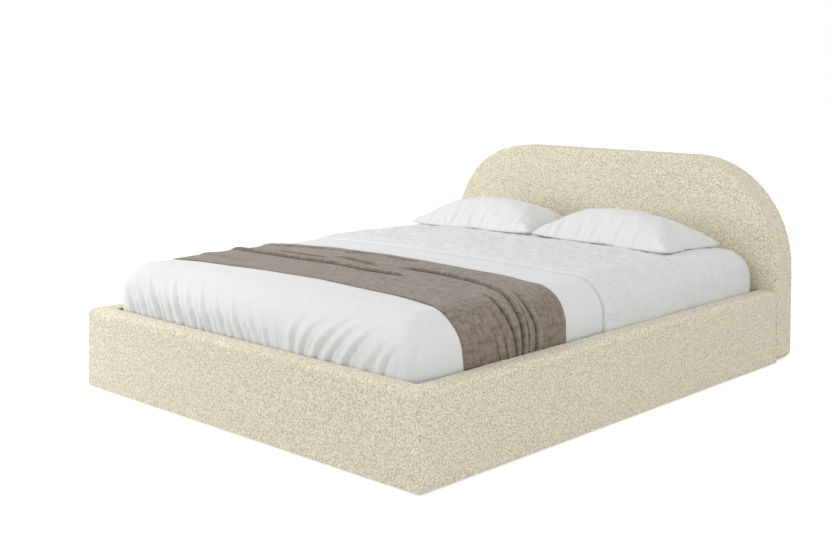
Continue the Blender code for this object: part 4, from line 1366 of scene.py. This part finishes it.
def coat_frame():
    """The finishes of everything that keeps the frame's own shape."""
    coat_nodes("timber", ("side_rail_core", "floor_batten"))
    coat_nodes("cross_timber", ("footboard_core", "headboard_panel", "headboard_frame",
                                "head_cross_rail"))
    coat_nodes("black_board", ("floor_panel", "support_ledge"))
    coat_nodes("lining", ("headboard_back_panel",))
    coat_nodes("slat_wood", ("slat_",))
    coat_nodes("painted_steel", ("corner_bracket", "hinge_plate", "lift_arm", "control_link",
                                 "gas_cylinder", "side_tube", "foot_tube", "head_tube", "centre_tube"))
    coat_nodes("bright_steel", ("gas_rod",))
    coat_nodes("glide_plastic", ("glide_",))
    coat_nodes("webbing", ("pull_strap",))


# ---------------------------------------------------------------- studio


def add_panel(name, place, target, size, power):
    """A soft square light panel that faces the target."""
    data = bpy.data.lights.new(name, "AREA")
    data.size = size
    data.energy = power
    light = new_piece(name, data)
    light.location = place
    light.rotation_euler = (Vector(place) - Vector(target)).to_track_quat("Z", "Y").to_euler()
    return light


def lay_floor(glow):
    """A pale floor that gives off this much light."""
    corners = [(-30, -30, 0), (30, -30, 0), (30, 30, 0), (-30, 30, 0)]
    floor = add_mesh("studio_floor", corners, [(0, 1, 2, 3)], smooth=False)
    paper, build, shader, given = finishes.start("studio paper", 0.9)
    clouds = build.noise(given["Object"], 2.0)
    finishes.colour(build, shader, clouds, (0.54, 0.54, 0.54), (0.56, 0.56, 0.56))
    shader.inputs["Emission Color"].default_value = (1, 1, 1, 1)
    looked_at = build.add("ShaderNodeLightPath").outputs["Is Camera Ray"]
    strength = build.math("ADD", build.math("MULTIPLY", looked_at, 0.5), glow)
    build.join(strength, shader.inputs["Emission Strength"])
    floor.data.materials.append(paper)


def fill_room(fill):
    """White light of this strength from all round, and pure white behind everything."""
    world = bpy.data.worlds.new("studio")
    bpy.context.scene.world = world
    world.use_nodes = True
    build = Nodes(world.node_tree)
    background = world.node_tree.nodes["Background"]
    background.inputs["Color"].default_value = (1, 1, 1, 1)
    seen = build.add("ShaderNodeLightPath").outputs["Is Camera Ray"]
    extra = build.math("MULTIPLY", seen, 1.0 - fill)
    build.join(build.math("ADD", extra, fill), background.inputs["Strength"])


def set_camera(lens):
    data = bpy.data.cameras.new("camera")
    data.lens = lens
    data.sensor_width = 36
    data.shift_x, data.shift_y = CAMERA_SHIFT
    camera = new_piece("camera", data)
    camera.location = CAMERA_PLACE
    camera.rotation_euler = (math.pi / 2, 0, CAMERA_TURN)
    bpy.context.scene.camera = camera


def set_studio():
    """A pale floor, soft light from above the foot's left, and the camera."""
    scene = bpy.context.scene
    settings = scene.bed_studio
    lay_floor(settings.floor_glow)
    add_panel("overhead panel", (-1.9, -1.5, 2.6), (0, 0.9, 0.5), 1.2, settings.key_power)
    add_panel("left panel", (-3.3, -3.0, 1.0), (0, 0.3, 0.4), 0.9, settings.side_power)
    add_panel("right panel", (4.6, -2.2, 1.3), (0.6, -0.4, 0.3), 2.0, settings.side_power * 0.58)
    fill_room(settings.fill_strength)
    scene.view_settings.view_transform = "Standard"
    set_camera(settings.focal_length)


# ---------------------------------------------------------------- operators


class Maker:
    """Runs the functions that make its pieces."""

    def execute(self, context):
        for make in self.makers:
            make()
        return {"FINISHED"}


class BED_OT_upholstery(Maker, bpy.types.Operator):
    """Cover the footboard, the side rails and the headboard in boucle"""

    bl_idname, bl_label = "bed.upholstery", "Upholstery"
    makers = (make_rails_cover, make_headboard_cover)


class BED_OT_frame_finishes(Maker, bpy.types.Operator):
    """Finish the timber, the steel, the boards and the lining"""

    bl_idname, bl_label = "bed.frame_finishes", "Frame Finishes"
    makers = (coat_frame,)


class BED_OT_fittings(Maker, bpy.types.Operator):
    """Add the screws, rivets and staples"""

    # Painted shade: the colour is darkened to near black along the creases, by the attribute that
    # make_throw stores
    bl_idname, bl_label = "bed.fittings", "Fittings"
    makers = (make_screws, make_rivets, make_staples)


class BED_OT_mattress(Maker, bpy.types.Operator):
    """Fill the mattress and pipe its seam"""

    bl_idname, bl_label = "bed.mattress", "Mattress"
    makers = (make_mattress,)


class BED_OT_fitted_sheet(Maker, bpy.types.Operator):
    """Stretch the fitted sheet over the mattress"""

    bl_idname, bl_label = "bed.fitted_sheet", "Fitted Sheet"
    makers = (make_fitted_sheet,)


class BED_OT_coverlet(Maker, bpy.types.Operator):
    """Lay the coverlet over the foot half and tuck it in"""

    bl_idname, bl_label = "bed.coverlet", "Coverlet"
    makers = (make_coverlet,)


class BED_OT_throw(Maker, bpy.types.Operator):
    """Drape the woven throw across the bed"""

    bl_idname, bl_label = "bed.throw", "Throw"
    makers = (make_throw,)


class BED_OT_pillows(Maker, bpy.types.Operator):
    """Fill the two pillows and lay them down"""

    bl_idname, bl_label = "bed.pillows", "Pillows"
    makers = (make_pillows,)


class BED_OT_studio(Maker, bpy.types.Operator):
    """Set the floor, the lights and the camera"""

    bl_idname, bl_label = "bed.studio", "Studio"
    makers = (set_studio,)


OPERATORS = (BED_OT_frame_finishes, BED_OT_upholstery, BED_OT_fittings, BED_OT_mattress,
             BED_OT_fitted_sheet, BED_OT_coverlet, BED_OT_throw, BED_OT_pillows, BED_OT_studio)


class BED_PT_panel(bpy.types.Panel):
    """The bed's settings and pieces"""

    bl_idname = "BED_PT_panel"
    bl_label = "Storage Bed"
    bl_space_type = "VIEW_3D"
    bl_region_type = "UI"
    bl_category = "Storage Bed"

    def draw(self, context):
        for group in SETTINGS:
            settings = getattr(context.scene, group)
            box = self.layout.box()
            for name in settings.bl_rna.properties.keys():
                if name not in ("rna_type", "name"):
                    box.prop(settings, name)
        for operator in OPERATORS:
            self.layout.operator(operator.bl_idname)


SETTINGS = {"bed_upholstery": UpholsterySettings, "bed_bedding": BeddingSettings,
            "bed_studio": StudioSettings}


def register():
    for settings in SETTINGS.values():
        bpy.utils.register_class(settings)
    for name, settings in SETTINGS.items():
        setattr(bpy.types.Scene, name, bpy.props.PointerProperty(type=settings))
    for operator in OPERATORS:
        bpy.utils.register_class(operator)
    bpy.utils.register_class(BED_PT_panel)


def unregister():
    bpy.utils.unregister_class(BED_PT_panel)
    for operator in OPERATORS:
        bpy.utils.unregister_class(operator)
    for name, settings in SETTINGS.items():
        delattr(bpy.types.Scene, name)
        bpy.utils.unregister_class(settings)


def main():
    register()
    for operator in OPERATORS:
        group, name = operator.bl_idname.split(".")
        getattr(getattr(bpy.ops, group), name)()


if __name__ == "__main__":
    main()
